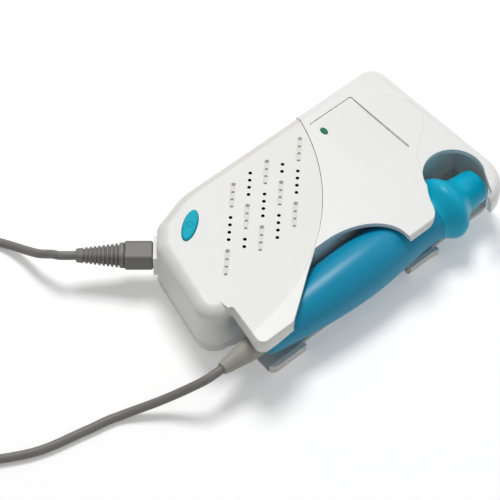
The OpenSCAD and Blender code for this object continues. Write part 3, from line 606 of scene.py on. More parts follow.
@dataclass
class Case:
    """The case: grille shell, upper cover and rear shell over one plan."""

    size: CaseSize = CASE
    boss_r: float = 3.0
    button: tuple[float, float] = (-28.0, -46.0)
    button_size: tuple[float, float] = (16.0, 5.6)
    button_tilt: float = 36.0
    button_gap: float = 0.3
    label: tuple[float, float] = (-17.0, 38.5)
    label_size: tuple[float, float] = (37.0, 24.0)
    label_t: float = 0.8
    label_sunk: float = 0.4
    light: tuple[float, float] = (-28.8, 29.1)
    light_size: tuple[float, float] = (3.8, 2.4)
    light_gap: float = 0.1
    seam_at: tuple[float, float] = (-68.0, -67.5)
    grille_rows: int = 5
    grille_step: float = 9.3
    hole_step: float = 3.8
    group_step: float = 17.3
    hole_r: float = 0.8
    dimple_r: float = 0.7
    slot_depth: float = 0.4
    grille_mid: tuple[float, float] = (-14.0, -18.0)
    wheel_t: float = 3.2
    wheel_gap: float = 0.3
    wheel_slot_y: tuple[float, float] = (17.0, 35.0)
    wheel_slot_deep: float = 7.0
    jack_x: float = -27.0
    jack_hole_r: float = 3.7
    crease_wide: float = 0.9
    crease_deep: float = 0.22
    line: np.ndarray = field(default_factory=lambda: rounded(plan()))
    through_at: list[np.ndarray] = field(default_factory=list)

    def divider(self, low: float, high: float) -> bpy.types.Object:
        """The wall between the case and the probe bay, bent round the head cavity."""
        s = self.size
        bend, t = s.finger_top - 9, s.divider
        flat = np.array([
            [s.box_x, s.pillar_y + 1], [s.box_x, bend], [s.cavity_x, s.flange_y - 8],
            [s.cavity_x, s.top - s.wall / 2], [s.cavity_x - t, s.top - s.wall / 2],
            [s.cavity_x - t, s.flange_y - 8 - t / 2],
            [s.box_x - t, bend - t / 2], [s.box_x - t, s.pillar_y + 1]])
        return prism("divider", flat, low, high)

    def bay(self) -> bpy.types.Object:
        """The space for the probe below the arms."""
        s = self.size
        low = s.probe_z + s.tail_r + s.clear
        flat = np.array([[s.bottom - 9, -5], [s.cup_tip, -5],
                         [s.cup_tip, s.height - s.wall + 0.2], [s.tail_y + 16, s.height - s.wall + 0.2],
                         [s.tail_y + 12, low + 1.8], [s.tail_y, low], [s.bottom - 9, low]])
        return along_x("bay", flat, s.box_x, s.box_x + 60)

    def hood(self) -> bpy.types.Object:
        """The space below the cup's side wall, which is a hood beyond the edge of the bay's floor."""
        s = self.size
        start, end, high = s.cup_tip - s.wall, s.top + s.wall, s.height - s.hood_h
        flat = np.array([[start, -5], [end, -5], [end, high - 1], [start, high]])
        return along_x("hood", flat, s.probe_x + 4, s.probe_x + 60)

    def window(self) -> bpy.types.Object:
        """The side window: a quarter oval above and the pillar's slanted edge below."""
        s = self.size
        x0, cx, cy = s.box_x + 0.4, s.probe_x + 6, -10.0
        turn = np.radians(np.linspace(180, 90, 31))
        arch = np.column_stack([cx + (cx - x0) * np.cos(turn), cy + (s.finger_low - cy) * np.sin(turn)])
        low = s.pillar_y
        flat = np.vstack([[[x0, cy - 5.5]], arch,
                          [[s.right + 3, s.finger_low], [s.right + 3, low + 13],
                           [s.arm_x - 0.5, low + 13], [s.arm_x - 3.5, low + 17.5],
                           [s.probe_x + 0.5, low + 25.5], [s.probe_x - 5.5, low + 34]]])
        return prism("window", flat[::-1], s.parting, CUT_TOP)

    def head_opening(self) -> bpy.types.Object:
        """The round opening over the head, which runs into the finger's curved edge inside the cup's wall."""
        s = self.size
        reach = s.right + 5
        centre = (s.probe_x - 3, s.flange_y + 5.5)
        made = prism("head_round", circle_line(*centre, s.opening_r, 144), s.parting, CUT_TOP)
        low = smooth_line(np.array([
            [s.arm_x + 0.2, s.finger_top - 9], [s.arm_x - 1, s.finger_top - 5.5],
            [s.arm_x - 2.6, s.finger_top - 3.2], [s.probe_x + 4.7, s.finger_top - 1.5],
            [s.probe_x + 1, s.finger_top + 0.2],
            [s.probe_x - 3.8, s.finger_top + 3.1], [s.probe_x - 9.7, s.finger_top + 8.2],
            [s.probe_x - 14.2, s.flange_y + 1.1]]), 6)
        high = smooth_line(np.array([[s.probe_x + 3.3, s.flange_y + 16.8],
                                     [s.probe_x + 13.8, s.flange_y + 10.9], [reach, s.cup_tip]]), 6)
        flat = np.vstack([[[reach, s.finger_top - 9]], low, [centre], high])
        shape(made, Way.JOIN, prism("head_side", flat[::-1], s.parting, CUT_TOP))
        inside = prism("inside", self.line[:, :2] - s.wall * self.line[:, 2:4], 0, 61)
        side = rectangle(s.probe_x, s.finger_low, reach + 5, s.cup_tip)
        shape(inside, Way.JOIN, prism("side", side, -1, 62))
        return shape(made, Way.KEEP, inside)

    def bosses(self, high: float) -> list[bpy.types.Object]:
        """The screw posts under the face."""
        s = self.size
        spots = ((s.left + 8, s.top - 9), (s.cavity_x - 7, s.top - 8), (s.left + 7, 4),
                 (s.box_x - 7.5, s.bottom + 8))
        return [prism("boss", circle_line(x, y, self.boss_r, 32), s.parting + 0.3, high) for x, y in spots]

    def front(self, name: str, high: float, inset: float) -> bpy.types.Object:
        """An upper tray with its divider and posts, before the seam parts it.

        Args:
            name: The object's name.
            high: The face's level.
            inset: How far the walls stand in.

        Returns:
            The closed form.
        """
        s = self.size
        rim = s.parting + s.seam_gap / 2
        made = rounded_block(name, self.line, rim, high, inset, s.front_edge)
        hollow = rounded_block("hollow", self.line, rim - 2, high - s.wall, s.wall + inset,
                               s.front_edge - s.wall)
        shape(made, Way.CUT, hollow)
        shape(made, Way.JOIN, self.divider(rim, high - s.wall + 0.3), *self.bosses(high - s.wall + 0.3))
        return made

    def socket_hole(self) -> bpy.types.Object:
        """The square hole in the facet."""
        return facet_block("hole", -4.4, 4.4, 12.2, 11.2)

    def holes(self) -> tuple[list[bpy.types.Object], list[bpy.types.Object], list[bpy.types.Object]]:
        """The grille's cutters: shallow slots, blind dimples and through holes, in diagonal rows of four.

        Returns:
            The slots, the dimples and the through holes.
        """
        s = self.size
        slots, dimples, through = [], [], []
        below, above = s.height - 5, s.height + s.over
        start = np.array([s.left + 11.6, -2 * self.grille_step])
        down = np.array([math.cos(math.pi / 4), -math.sin(math.pi / 4)])
        for i in range(self.grille_rows):
            for g in range(3):
                at = [start + [0, self.grille_step * i] + down * (g * self.group_step + k * self.hole_step)
                      for k in range(4)]
                open_hole = (i + g) % 2 == 1
                for k, p in enumerate(at):
                    if (i == 1 and g == 2 and k > 1) or (i == 3 and g == 0 and k < 2):
                        continue
                    if open_hole:
                        self.through_at.append(p)
                        through.append(prism("through", circle_line(*p, self.hole_r, 20), below, above))
                    else:
                        low = s.height - self.slot_depth - s.wall / 3
                        dimples.append(prism("dimple", circle_line(*p, self.dimple_r, 20), low, above))
                if not open_hole:
                    turn = np.linspace(0, np.pi, 13)
                    r, side = 1.5 * self.dimple_r, np.array([-down[1], down[0]])
                    cap = np.outer(np.cos(turn), side) * r
                    flat = np.vstack([at[0] + cap - np.outer(np.sin(turn), down) * r,
                                      at[3] - cap + np.outer(np.sin(turn), down) * r])
                    slots.append(prism("slot", flat, s.height - self.slot_depth, above))
        return slots, dimples, through

    def grille_shell(self) -> bpy.types.Object:
        """The grille shell: the part of the tray inside the curved seam, with its holes."""
        s = self.size
        made = self.front("grille_shell", s.height, 0)
        shape(made, Way.KEEP, prism("seam", circle_line(*self.seam_at, s.seam_r, 360), -1, 61))
        shape(made, Way.CUT, self.bay(), self.hood(), self.window(), self.head_opening(), self.socket_hole(),
              self.wheel_slot())
        slots, dimples, through = self.holes()
        shape(made, Way.CUT, merged("slots", slots), merged("dimples", dimples), merged("through", through))
        long, wide = self.button_size
        gap = 2 * self.button_gap
        around = oval_line(self.button, long + gap, wide + gap, self.button_tilt)
        shape(made, Way.CUT, prism("button_hole", around, s.height - 5, s.height + s.over))
        finish_piece(made, "main_unit", BODY_WHITE, "front_shell", "front_shell")
        self.paint_hole_shade(made)
        return made

    def paint_hole_shade(self, shell: bpy.types.Object) -> None:
        """Paints shade: black on the through holes' walls, and a darker, warmer white in the slots and
        dimples.

        Args:
            shell: The finished grille shell.
        """
        s = self.size
        shell.data.materials.append(HOLE_PAINTED_SHADE.material())
        shell.data.materials.append(SLOT_PAINTED_SHADE.material())
        faces = shell.data.polygons
        centre, normal = np.zeros(len(faces) * 3), np.zeros(len(faces) * 3)
        faces.foreach_get("center", centre)
        faces.foreach_get("normal", normal)
        centre, normal = centre.reshape(-1, 3) / MM, normal.reshape(-1, 3)
        slot = np.zeros(len(faces), int)
        # Painted shade: the through holes' upright walls take the black, material 1.
        for at in self.through_at:
            near = np.linalg.norm(centre[:, :2] - at, axis=1) < self.hole_r + 0.05
            slot[near & (np.abs(normal[:, 2]) < 0.1) & (centre[:, 2] > s.height - s.wall - 0.5)] = 1
        # Painted shade: faces sunk in the slots and dimples take the darker, warmer white, material 2.
        low = s.height - self.slot_depth - s.wall / 3 - 0.05
        inside = np.linalg.norm(centre[:, :2] - np.array(self.grille_mid), axis=1) < 40
        slot[inside & (slot == 0) & (centre[:, 2] > low) & (centre[:, 2] < s.height - 0.05)] = 2
        faces.foreach_set("material_index", slot.tolist())

    def wheel_slot(self) -> bpy.types.Object:
        """The slot for the volume wheel in the left side."""
        s = self.size
        half = self.wheel_t / 2 + self.wheel_gap
        low, high = self.wheel_slot_y
        flat = rectangle(s.left - 2, low, s.left + self.wheel_slot_deep, high)
        return prism("wheel_slot", flat, s.mid_z - half, s.mid_z + half)

    def upper_cover(self) -> bpy.types.Object:
        """The upper cover: the rest of the tray, proud of the grille shell, with finger, cup and recess."""
        s = self.size
        made = self.front("upper_cover", s.cover_z, -0.15)
        shape(made, Way.CUT, prism("seam", circle_line(*self.seam_at, s.seam_r + s.seam_gap, 360), -1, 61))
        shape(made, Way.CUT, self.bay(), self.hood(), self.window(), self.head_opening(), self.wheel_slot())
        floor = s.cover_z - self.label_t - self.label_sunk
        shape(made, Way.CUT, prism("recess", self.label_line(0.0, 0.0), floor, s.cover_z + s.over))
        shape(made, Way.CUT, self.crease())
        shape(made, Way.CUT, self.light_hole())
        jack = lathe("jack_hole", rectangle(0, -5, self.jack_hole_r, 5),
                     Axis((self.jack_x, s.top, s.mid_z), (0, 1, 0), (1, 0, 0)), 48)
        shape(made, Way.CUT, jack)
        return finish_piece(made, "main_unit", COVER_WHITE, "top_cover", "top_cover")

    def light_hole(self) -> bpy.types.Object:
        """The oval hole that the light stands in."""
        long, wide = self.light_size
        gap, top = 2 * self.light_gap, self.size.cover_z
        flat = oval_line(self.light, wide + gap, long + gap)
        return prism("light_hole", flat, top - 5, top + self.size.over)

    def label_line(self, gap: float, slope: float) -> np.ndarray:
        """The label's outline with rounded corners, drawn in by a gap, its far edge sloping in towards +X.

        Args:
            gap: How far it is drawn in on all sides.
            slope: How much further in its far right corner lies.

        Returns:
            Rows of x, y, anticlockwise.
        """
        (x, y), (w, l) = self.label, self.label_size
        w, l, r = w / 2 - gap, l / 2 - gap, 1.0
        corners = np.array([[x - w, y - l, r, 1], [x + w, y - l, r, 1], [x + w, y + l - slope, r, 1],
                            [x - w, y + l, r, 1]])
        return rounded(corners, 15)[:, :2]

    def crease(self) -> bpy.types.Object:
        """The soft crease on the cover round the label: a shallow V swept along a smooth line.

        Returns:
            The cutter.
        """
        line = smooth_line(np.array([[-31.0, 57.0], [-27.9, 60.2], [-21.6, 66.2], [-10.2, 67.4], [-3.9, 63.6],
                                     [4.5, 52.4], [12.2, 45.8], [18.4, 44.2]]), 8)
        along = np.gradient(line, axis=0)
        along /= np.linalg.norm(along, axis=1, keepdims=True)
        side = np.column_stack([along[:, 1], -along[:, 0]])
        fade = np.clip(np.minimum(np.arange(len(line)), np.arange(len(line))[::-1]) / 8, 0.1, 1)[:, None]
        top = self.size.cover_z
        half = side * self.crease_wide / 2 * fade
        rings = np.stack([np.column_stack([line - half, np.full(len(line), top + 0.05)]),
                          np.column_stack([line, top - self.crease_deep * fade[:, 0]]),
                          np.column_stack([line + half, np.full(len(line), top + 0.05)])], axis=1)
        made = put_mesh("crease", rings.reshape(-1, 3), skin_faces(len(line), 3))
        tidy(made)
        return made

    def label_panel(self) -> bpy.types.Object:
        """The bare label panel in its recess, with the light's hole."""
        s = self.size
        made = prism("label_film", self.label_line(0.15, 1.7), s.cover_z - self.label_t - self.label_sunk,
                     s.cover_z - self.label_sunk)
        shape(made, Way.CUT, self.light_hole())
        return finish_piece(made, "main_unit", PANEL_FILM, "label_panel", "label_panel", soften_mm=0.08)


@dataclass(frozen=True)
class PlugAxis:
    """The plug's axis: from the middle of the facet outwards."""

    z: float = CASE.mid_z

    def points(self, local: np.ndarray) -> np.ndarray:
        """Carries points from the plug's own axes: x runs outwards along the axis, y across it and z up.

        Args:
            local: Rows of x, y, z.

        Returns:
            Rows of x, y, z in the row's frame.
        """
        a, b = CASE.facet
        middle = (a + b) / 2
        turn = math.radians(270 - CASE.facet_turn)
        x, y, z = np.asarray(local, float).T
        return np.column_stack([middle[0] + x * math.cos(turn) - y * math.sin(turn),
                                middle[1] + x * math.sin(turn) + y * math.cos(turn), self.z + z])


PLUG_AXIS = PlugAxis()


def facet_block(name: str, start: float, end: float, wide: float, high: float) -> bpy.types.Object:
    """A box along the plug's axis.

    Args:
        name: The object's name.
        start: Its start, from the facet outwards.
        end: Its end.
        wide: Its width.
        high: Its height.

    Returns:
        The closed form.
    """
    x, y, z = np.meshgrid([start, end], [-wide / 2, wide / 2], [-high / 2, high / 2], indexing="ij")
    local = np.column_stack([x.ravel(), y.ravel(), z.ravel()])
    faces = [[0, 1, 3, 2], [4, 6, 7, 5], [0, 4, 5, 1], [2, 3, 7, 6], [0, 2, 6, 4], [1, 5, 7, 3]]
    made = put_mesh(name, PLUG_AXIS.points(local), faces)
    tidy(made)
    return made


def merged(name: str, pieces: list[bpy.types.Object]) -> bpy.types.Object:
    """Puts closed forms that don't touch each other into one mesh.

    Args:
        name: The new object's name.
        pieces: The forms, which are removed.

    Returns:
        The one object.
    """
    points, faces, start = [], [], 0
    for piece in pieces:
        points.append(np.array([v.co for v in piece.data.vertices]) / MM)
        faces += [[start + i for i in f.vertices] for f in piece.data.polygons]
        start += len(points[-1])
        bpy.data.objects.remove(piece)
    return put_mesh(name, np.vstack(points), faces)


def smooth_line(guide: np.ndarray, steps: int) -> np.ndarray:
    """A smooth line through guide points: between two of them, a cubic whose end slopes are half the way
    from the point before to the point after.

    Args:
        guide: Rows of coordinates.
        steps: Points for each stretch.

    Returns:
        Rows of coordinates, ending on the last guide point.
    """
    g = np.vstack([guide[:1], guide, guide[-1:]]).astype(float)
    a, b, c, d = g[:-3, None], g[1:-2, None], g[2:-1, None], g[3:, None]
    t = (np.arange(steps) / steps)[None, :, None]
    q = (2 * b + t * (c - a) + t**2 * (2 * a - 5 * b + 4 * c - d) + t**3 * (3 * b - a - 3 * c + d)) / 2
    return np.vstack([q.reshape(-1, g.shape[1]), guide[-1:]])


@dataclass
class Cord:
    """The lead as one cable: from the probe's relief, through the stored coil, to the plug's boot."""

    diameter: float = 3.8
    coil_at: tuple[float, float] = (-74.0, -160.0)
    coil_inner: float = 13.8
    coil_step: float = 4.3
    turns: int = 4
    extra: float = 0.25
    relief_l: float = 21.0
    hold: float = 4.5
    boot_end: float = 33.65
    sides: int = 16
    line: np.ndarray = field(init=False)
    length: float = 0.0

    def coil(self, per_turn: int) -> np.ndarray:
        """The coil's centreline: it winds in on the table, steps up one layer in half a turn and winds out.

        Args:
            per_turn: Points in a turn.

        Returns:
            Rows of x, y, z.
        """
        t = np.arange(int(per_turn * (2 * self.turns + self.extra)) + 1) / per_turn
        a = np.radians(-90 - 360 * t)
        r = self.coil_inner + self.coil_step * np.abs(t - self.turns)
        w = np.clip((t - self.turns + 0.25) * 2, 0, 1)
        z = self.diameter / 2 + self.coil_step * (1 - np.cos(np.pi * w)) / 2
        return np.column_stack([self.coil_at[0] + r * np.cos(a), self.coil_at[1] + r * np.sin(a), z])

    def path(self) -> np.ndarray:
        """The whole centreline."""
        c, r = CASE, self.diameter / 2
        coil = self.coil(24)
        first, last = coil[0] + [self.diameter, 0, 0], coil[-1] + [0, self.diameter, 0]
        end = np.array([c.probe_x, c.tail_y - self.relief_l, c.probe_z])
        exit_at = PLUG_AXIS.points(np.array([[self.boot_end, 0, 0]]))[0]
        back = PLUG_AXIS.points(np.array([[self.boot_end + 1, 0, 0]]))[0] - exit_at
        probe = np.array([
            end + [0, self.hold, 0], end, end - [0, 3, 0], end - [1.5, 10, 1.8], end - [9, 23, 9.4],
            [9.6, -116, r], [6, -131, r], [0, -153, r], [-15.4, -176.4, r], [-34.4, -187.2, r],
            [-58, -190.6, r], first])
        plug = np.array([
            last, last + [-0.5, 12, -2.6], last + [-1, 26, -self.coil_step], [-102.4, -107.4, r],
            [-95, -101.4, r], [-86.5, -97, 2.8], [-77.5, -94.6, 6], [-70, -93.2, 10],
            exit_at + back * 10 + [-1.4, 1.2, -1.6], exit_at + back * 6.5, exit_at,
            exit_at - back * self.hold])
        line = np.vstack([smooth_line(probe, 6), coil, smooth_line(plug, 6)])
        line[:, 2] = np.maximum(line[:, 2], r)
        keep = np.append(True, np.linalg.norm(np.diff(line, axis=0), axis=1) > 0.3)
        return line[keep]

    def build(self) -> bpy.types.Object:
        """Sweeps a circle along the centreline: each ring stands across the line, its first axis level.

        Returns:
            The cord.
        """
        line, r = self.path(), self.diameter / 2
        along = np.gradient(line, axis=0)
        along /= np.linalg.norm(along, axis=1, keepdims=True)
        across = np.cross(along, [0, 0, 1])
        across /= np.linalg.norm(across, axis=1, keepdims=True)
        up = np.cross(across, along)
        turn = np.linspace(0, 2 * np.pi, self.sides, endpoint=False)
        cos, sin = np.cos(turn)[None, :, None], np.sin(turn)[None, :, None]
        points = line[:, None] + r * (across[:, None] * cos + up[:, None] * sin)
        made = put_mesh("lead", points.reshape(-1, 3), skin_faces(len(line), self.sides), 60)
        made.data.materials.append(CORD_GREY.material())
        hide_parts("cord_to_probe", "cord_coil", "cord_to_plug")
        tidy(made)
        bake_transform(made)
        self.line, self.length = line, float(np.linalg.norm(np.diff(line, axis=0), axis=1).sum())
        log.info("lead: %.0f mm long, %d faces", self.length, len(made.data.polygons))
        return made


def ease(t: np.ndarray) -> np.ndarray:
    """A soft step from 0 to 1: half of one less the cosine of t half turns."""
    return (1 - np.cos(np.pi * np.asarray(t, float))) / 2


@dataclass
class Probe:
    """The turned probe: grip, head with flange and nose, and strain relief."""

    tail_r: float = 7.2
    grip_r: float = 12.2
    neck_r: float = 9.6
    flange_r: float = 14.0
    nose_r: float = 8.3
    nose_l: float = 17.5
    grip_l: float = 104.0
    fat_l: float = 52.0
    flare_l: float = 13.0
    ridge_back: float = 2.5
    fall_l: float = 7.5
    wall: float = 1.8
    relief_in: float = 5.0
    relief_out: float = 2.9
    relief_l: float = 21.0

    @property
    def axis(self) -> Axis:
        """The probe's axis, from the flange towards the label end."""
        return Axis((CASE.probe_x, CASE.flange_y, CASE.probe_z), (0, 1, 0), (-1, 0, 0))

    def grip_radius(self, y: np.ndarray) -> np.ndarray:
        """The grip's radius: a quarter sine from the tail to the fattest place, then a soft step to the neck.

        Args:
            y: Distance ahead of the flange, negative.

        Returns:
            The radius.
        """
        back = self.tail_r + (self.grip_r - self.tail_r) * np.sin(
            np.pi / 2 * np.clip((y + self.grip_l) / (self.grip_l - self.fat_l), 0, 1))
        front = self.neck_r + (self.grip_r - self.neck_r) * (
            1 - ease(np.clip((y + self.fat_l) / (self.fat_l - self.flare_l), 0, 1)))
        return np.where(y < -self.fat_l, back, front)

    def grip(self) -> bpy.types.Object:
        """The grip's shell."""
        y = np.linspace(-self.grip_l, -self.flare_l, 61)
        r = self.grip_radius(y)
        outer = np.column_stack([r, y])[1:]
        inner = np.column_stack([r - self.wall, y])[:6:-1]
        edge, end, tail = self.relief_in + 0.05, -self.grip_l, self.tail_r
        neck, front = self.neck_r + 0.6, -self.flare_l + 2
        profile = np.vstack([
            [[edge, end], [tail - 1, end], [tail - 0.45, end + 0.2], [tail - 0.1, end + 0.7]], outer,
            [[neck, front], [neck - self.wall, front]], inner,
            [[self.relief_in + 1.5, end + 8], [edge, end + 8]]])
        made = lathe("grip_shell", profile, self.axis, 128)
        return finish_piece(made, "probe", TEAL_GRIP, "probe_grip", "probe_grip")

    def head(self) -> bpy.types.Object:
        """The head: flare, flange and nose."""
        low, fr, nr = self.neck_r + 0.6, self.flange_r, self.nose_r
        start, back = -self.flare_l + 2.1, self.ridge_back
        t = np.linspace(0, 1, 21)[1:]
        flare = np.column_stack([low + (fr - low) * ease(t), start + (-start - back) * t])
        t = np.linspace(0, 1, 25)[1:]
        fall = np.column_stack([fr - (fr - nr) * ease(t), -back + (back + self.fall_l) * t])
        a = np.radians(np.linspace(0, 90, 9))
        nose = np.column_stack([nr - 2.8 + 2 * np.cos(a), self.nose_l - 2 + 2 * np.sin(a)])
        face, inside, seat = nr - 3.1, nr - self.wall - 1, self.nose_l - 2.5
        profile = np.vstack([[[low - self.wall, start], [low, start]], flare, fall, nose,
                             [[face, self.nose_l], [face, seat], [inside, seat], [inside, 2]]])
        made = lathe("head_shell", profile, self.axis, 128)
        return finish_piece(made, "probe", TEAL_HEAD, "probe_head", "probe_head")

    def relief(self) -> bpy.types.Object:
        """The strain relief, stepped once and turned about the same axis, with the cord's hole."""
        wide, thin, hole = self.relief_in, self.relief_out, 1.95
        mid = (wide + thin) / 2 + 0.5
        y, l = -self.grip_l, self.relief_l
        profile = np.array([
            [0, y + 9.5], [wide + 1.1, y + 9.5], [wide + 1.1, y + 8.05], [wide, y + 8.05], [wide, y - 4],
            [mid + 0.3, y - l * 0.44], [mid + 0.1, y - l * 0.47], [mid, y - l * 0.5], [thin, y - l + 1],
            [thin - 0.15, y - l + 0.3], [thin - 0.5, y - l], [hole, y - l], [hole, y - l + 5],
            [0, y - l + 5]])
        made = lathe("relief_sleeve", profile, self.axis, 64)
        # The relief's grey carries painted light on its lit side.
        return finish_piece(made, "probe", RELIEF_GREY_PAINTED_LIGHT, "probe_strain_relief", "probe_strain_relief")


@dataclass
class Button:
    """The oval power button with its ring mark."""

    proud: float = 1.0
    flange: float = 1.0
    stem_r: float = 1.6
    stem_low: float = 22.8
    mark_r: tuple[float, float] = (1.5, 1.1)
    mark_open_deg: float = 40.0

    def build(self, case: Case) -> bpy.types.Object:
        """The cap: an oval whose rings draw in over a soft crown, over its flange and stem.

        Args:
            case: The case that holds it.

        Returns:
            The cap.
        """
        z0, wall = CASE.height, CASE.wall
        long, wide = case.button_size
        crown = np.radians(np.linspace(0, 90, 9))
        seat, shoulder = z0 - wall - 0.1, z0 + self.proud - 0.73
        levels = [(seat - 1.2, self.flange), (seat, self.flange), (seat, 0.0), (shoulder, 0.0)]
        levels += [(shoulder + 0.7 * math.sin(a), -0.8 * (1 - math.cos(a))) for a in crown]
        rings = [np.column_stack([oval_line(case.button, long + 2 * g, wide + 2 * g, case.button_tilt, 96),
                                  np.full(96, z)]) for z, g in levels]
        made = put_mesh("button_cap", np.vstack(rings), skin_faces(len(rings), 96))
        tidy(made)
        shape(made, Way.JOIN, prism("stem", circle_line(*case.button, self.stem_r, 32), self.stem_low,
                                     z0 - wall - 1.0))
        return finish_piece(made, "power_button", BUTTON_TEAL, "power_button", "power_button")

    def mark(self, case: Case) -> bpy.types.Object:
        """The ring and stroke printed on the cap, a twentieth of a millimetre thick."""
        top = CASE.height + self.proud
        x, y = case.button
        gap = np.radians(np.linspace(90 + self.mark_open_deg, 450 - self.mark_open_deg, 49))
        band = [np.column_stack([x + r * np.cos(gap), y + r * np.sin(gap)]) for r in self.mark_r]
        flat = np.vstack([band[0], band[1][::-1]])
        made = prism("button_mark", flat, top - 0.04, top - 0.01)
        stroke = prism("stroke", rectangle(x - 0.2, y + 0.4, x + 0.2, y + 1.9), top - 0.04, top - 0.01)
        made = merged("button_mark", [made, stroke])
        return finish_piece(made, "power_button", BUTTON_MARK, "power_button")


@dataclass
class Plug:
    """The plug: a block with rounded edges, its tongue, and the ribbed boot."""

    wide: float = 10.0
    high: float = 9.0
    long: float = 12.0
    boot_l: float = 20.0
    ribs: int = 9
    start: float = 1.65
    end_r: float = 2.5

    def squircle(self, x: np.ndarray, half_w: np.ndarray, half_h: np.ndarray, power: float,
                 sides: int) -> np.ndarray:
        """Rings of a rounded square: cosine and sine raised to a power below one, times the half sizes.

        Args:
            x: Place of each ring along the axis.
            half_w: Half width of each ring.
            half_h: Half height of each ring.
            power: 1 for an oval, less for a squarer ring.
            sides: Points in a ring.

        Returns:
            Rows of x, y, z in the row's frame.
        """
        a = np.linspace(0, 2 * np.pi, sides, endpoint=False)
        c, s = (np.sign(v) * np.abs(v) ** power for v in (np.cos(a), np.sin(a)))
        grid = np.stack([np.repeat(x[:, None], sides, 1), half_w[:, None] * c, half_h[:, None] * s], axis=-1)
        return PLUG_AXIS.points(grid.reshape(-1, 3))

    def block(self) -> bpy.types.Object:
        """The block, drawn in at both ends, with the tongue that enters the socket."""
        x = np.array([0, 0, 0.25, 0.8, 11.2, 11.75, 12.0]) + self.start
        pull = np.array([0.9, 0.9, 0.35, 0.0, 0.0, 0.3, 0.8])
        w, h = self.wide / 2 - pull, self.high / 2 - pull
        points = self.squircle(x, w, h, 0.32, 64)
        made = put_mesh("plug_block", points, skin_faces(len(x), 64))
        tidy(made)
        tongue = facet_block("tongue", -4.5, self.start + 1, self.wide - 3, self.high - 3)
        shape(made, Way.JOIN, tongue)
        return finish_piece(made, "plug", PLUG_GREY, "plug_housing", "plug_housing", sharp_deg=40)

    def boot(self) -> bpy.types.Object:
        """The boot: rings that taper from the block to the cord, drawn in between the ribs."""
        pitch = (self.boot_l - 4) / self.ribs
        x, scale = [0.0, 0.3, 2.0], [0.93, 1.0, 1.0]
        for i in range(self.ribs):
            at = 2 + i * pitch
            x += [at + 0.05, at + 0.2] + [at + share * pitch for share in (0.38, 0.42, 0.5, 0.92)]
            scale += [0.86, 0.82, 0.82, 0.95, 1.0, 1.0]
        x += [self.boot_l - 0.4, self.boot_l]
        scale += [1.0, 0.9]
        x, scale = np.array(x), np.array(scale)
        t = x / self.boot_l
        w = (self.wide / 2 * (1 - t) + self.end_r * t) * scale
        h = (self.high / 2 * (1 - t) + self.end_r * t) * scale
        points = self.squircle(x + self.start + self.long, w, h, 0.62, 48)
        made = put_mesh("plug_sleeve", points, skin_faces(len(x), 48), 50)
        bore_x = np.array([self.start + self.long - 1, self.start + self.long + self.boot_l + 1])
        bore_r = np.full(2, 2.0)
        bore = put_mesh("bore", self.squircle(bore_x, bore_r, bore_r, 1.0, 32), skin_faces(2, 32))
        shape(made, Way.CUT, bore)
        return finish_piece(made, "plug", BOOT_GREY, "plug_boot", "plug_boot", sharp_deg=50)


@dataclass(frozen=True)
class View:
    """The camera that took the photograph, from the fit to its landmarks."""

    at_mm: tuple[float, float, float] = (400.05, -394.54, 751.44)
    right: tuple[float, float, float] = (0.6609, 0.75046, 0.00443)
    down: tuple[float, float, float] = (0.60291, -0.52742, -0.59861)
    focal_px: float = 2220.16

    def build(self) -> bpy.types.Object:
        """Places the camera.

        Returns:
            The camera.
        """
        data = bpy.data.cameras.new("view")
        data.sensor_width = 36
        data.lens = self.focal_px * 36 / 500
        data.clip_start, data.clip_end = 0.01, 20
        x = np.array(self.right) / np.linalg.norm(self.right)
        y = -np.array(self.down)
        y -= x * (x @ y)
        y /= np.linalg.norm(y)
        z = np.cross(x, y)
        turn = Matrix(np.column_stack([x, y, z]).tolist()).to_4x4()
        camera = bpy.data.objects.new("view", data)
        camera.matrix_world = Matrix.Translation([v * MM for v in self.at_mm]) @ turn
        bpy.context.scene.collection.objects.link(camera)
        bpy.context.scene.camera = camera
        return camera


def seen_rays(tree: bpy.types.NodeTree) -> bpy.types.NodeSocket:
    """1 for a ray that shows a surface, straight, mirrored or through a lens, and 0 for a ray of light.

    Args:
        tree: The node tree that gets the nodes.

    Returns:
        The socket with the value.
    """
    path = tree.nodes.new("ShaderNodeLightPath")
    total = path.outputs["Is Camera Ray"]
    for kind in ("Is Glossy Ray", "Is Transmission Ray"):
        larger = tree.nodes.new("ShaderNodeMath")
        larger.operation = "MAXIMUM"
        tree.links.new(total, larger.inputs[0])
        tree.links.new(path.outputs[kind], larger.inputs[1])
        total = larger.outputs[0]
    return total


def floor_material() -> bpy.types.Material:
    """The floor: plain white that keeps the object's shadow.

    Returns:
        The material.
    """
    made = bpy.data.materials.new("floor_white")
    made.use_nodes = True
    tree = made.node_tree
    shader = tree.nodes["Principled BSDF"]
    shader.inputs["Base Color"].default_value = (0.97, 0.97, 0.97, 1)
    shader.inputs["Roughness"].default_value = 0.8
    shader.inputs["Specular IOR Level"].default_value = 0.1
    shader.inputs["Emission Color"].default_value = (1, 1, 1, 1)
    lift = tree.nodes.new("ShaderNodeMath")
    lift.operation = "MULTIPLY"
    lift.inputs[1].default_value = FLOOR_LIFT
    tree.links.new(seen_rays(tree), lift.inputs[0])
    tree.links.new(lift.outputs[0], shader.inputs["Emission Strength"])
    return made


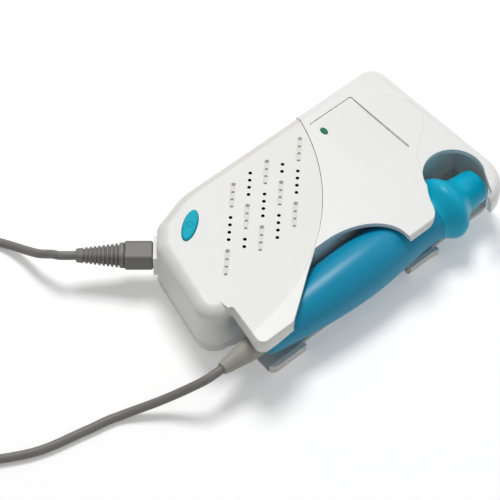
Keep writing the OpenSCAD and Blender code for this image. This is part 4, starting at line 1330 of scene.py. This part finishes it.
def build_stage() -> None:
    """The floor, the lamps and the white surroundings."""
    floor = prism("floor", rectangle(-FLOOR_HALF, -FLOOR_HALF, FLOOR_HALF, FLOOR_HALF), -20, -0.02)
    floor.data.materials.append(floor_material())
    world = bpy.data.worlds.new("surround")
    bpy.context.scene.world = world
    world.use_nodes = True
    tree = world.node_tree
    tree.nodes.clear()
    out = tree.nodes.new("ShaderNodeOutputWorld")
    lit, seen = tree.nodes.new("ShaderNodeBackground"), tree.nodes.new("ShaderNodeBackground")
    for backdrop, strength in ((lit, WORLD_LIGHT), (seen, 1.0)):
        backdrop.inputs["Color"].default_value = (1, 1, 1, 1)
        backdrop.inputs["Strength"].default_value = strength
    mix = tree.nodes.new("ShaderNodeMixShader")
    tree.links.new(seen_rays(tree), mix.inputs["Fac"])
    tree.links.new(lit.outputs["Background"], mix.inputs[1])
    tree.links.new(seen.outputs["Background"], mix.inputs[2])
    tree.links.new(mix.outputs["Shader"], out.inputs["Surface"])
    add_lamp("key", (-0.38, 0.22, 0.95), 0.35, 6.4)
    add_lamp("fill", (0.2, 0.9, 0.7), 0.6, 1.0)


def add_lamp(name: str, at: tuple[float, float, float], size: float, watts: float) -> None:
    """A square soft lamp that looks at the object.

    Args:
        name: The lamp's name.
        at: Its place in metres.
        size: Its side in metres.
        watts: Its power.
    """
    data = bpy.data.lights.new(name, "AREA")
    data.size, data.energy = size, watts
    lamp = bpy.data.objects.new(name, data)
    lamp.location = at
    lamp.rotation_euler = (-Vector(at)).to_track_quat("-Z", "Y").to_euler()
    bpy.context.scene.collection.objects.link(lamp)


def dress_cad() -> None:
    """Gives each CAD node that stays its material."""
    for name, finish in CAD_FINISHES.items():
        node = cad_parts[name]
        node.data.materials.clear()
        node.data.materials.append(finish.material())
        log.info("%s keeps its solid", name)


def main() -> None:
    """Builds the doppler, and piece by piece."""
    logging.basicConfig(level=logging.INFO, format="%(name)s %(message)s")
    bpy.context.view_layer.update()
    bpy.context.scene.view_settings.view_transform = "Standard"
    View().build()
    cord = Cord()
    lead = cord.build()
    case = Case()
    case.grille_shell()
    case.upper_cover()
    case.label_panel()
    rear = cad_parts["rear_shell"]
    rear.data.materials.clear()
    rear.data.materials.append(REAR_WHITE.material())
    button = Button()
    button.build(case)
    button.mark(case)
    probe = Probe()
    probe.grip()
    probe.head()
    relief = probe.relief()
    plug = Plug()
    block, boot = plug.block(), plug.boot()
    dress_cad()
    build_stage()


if __name__ == "__main__":
    main()
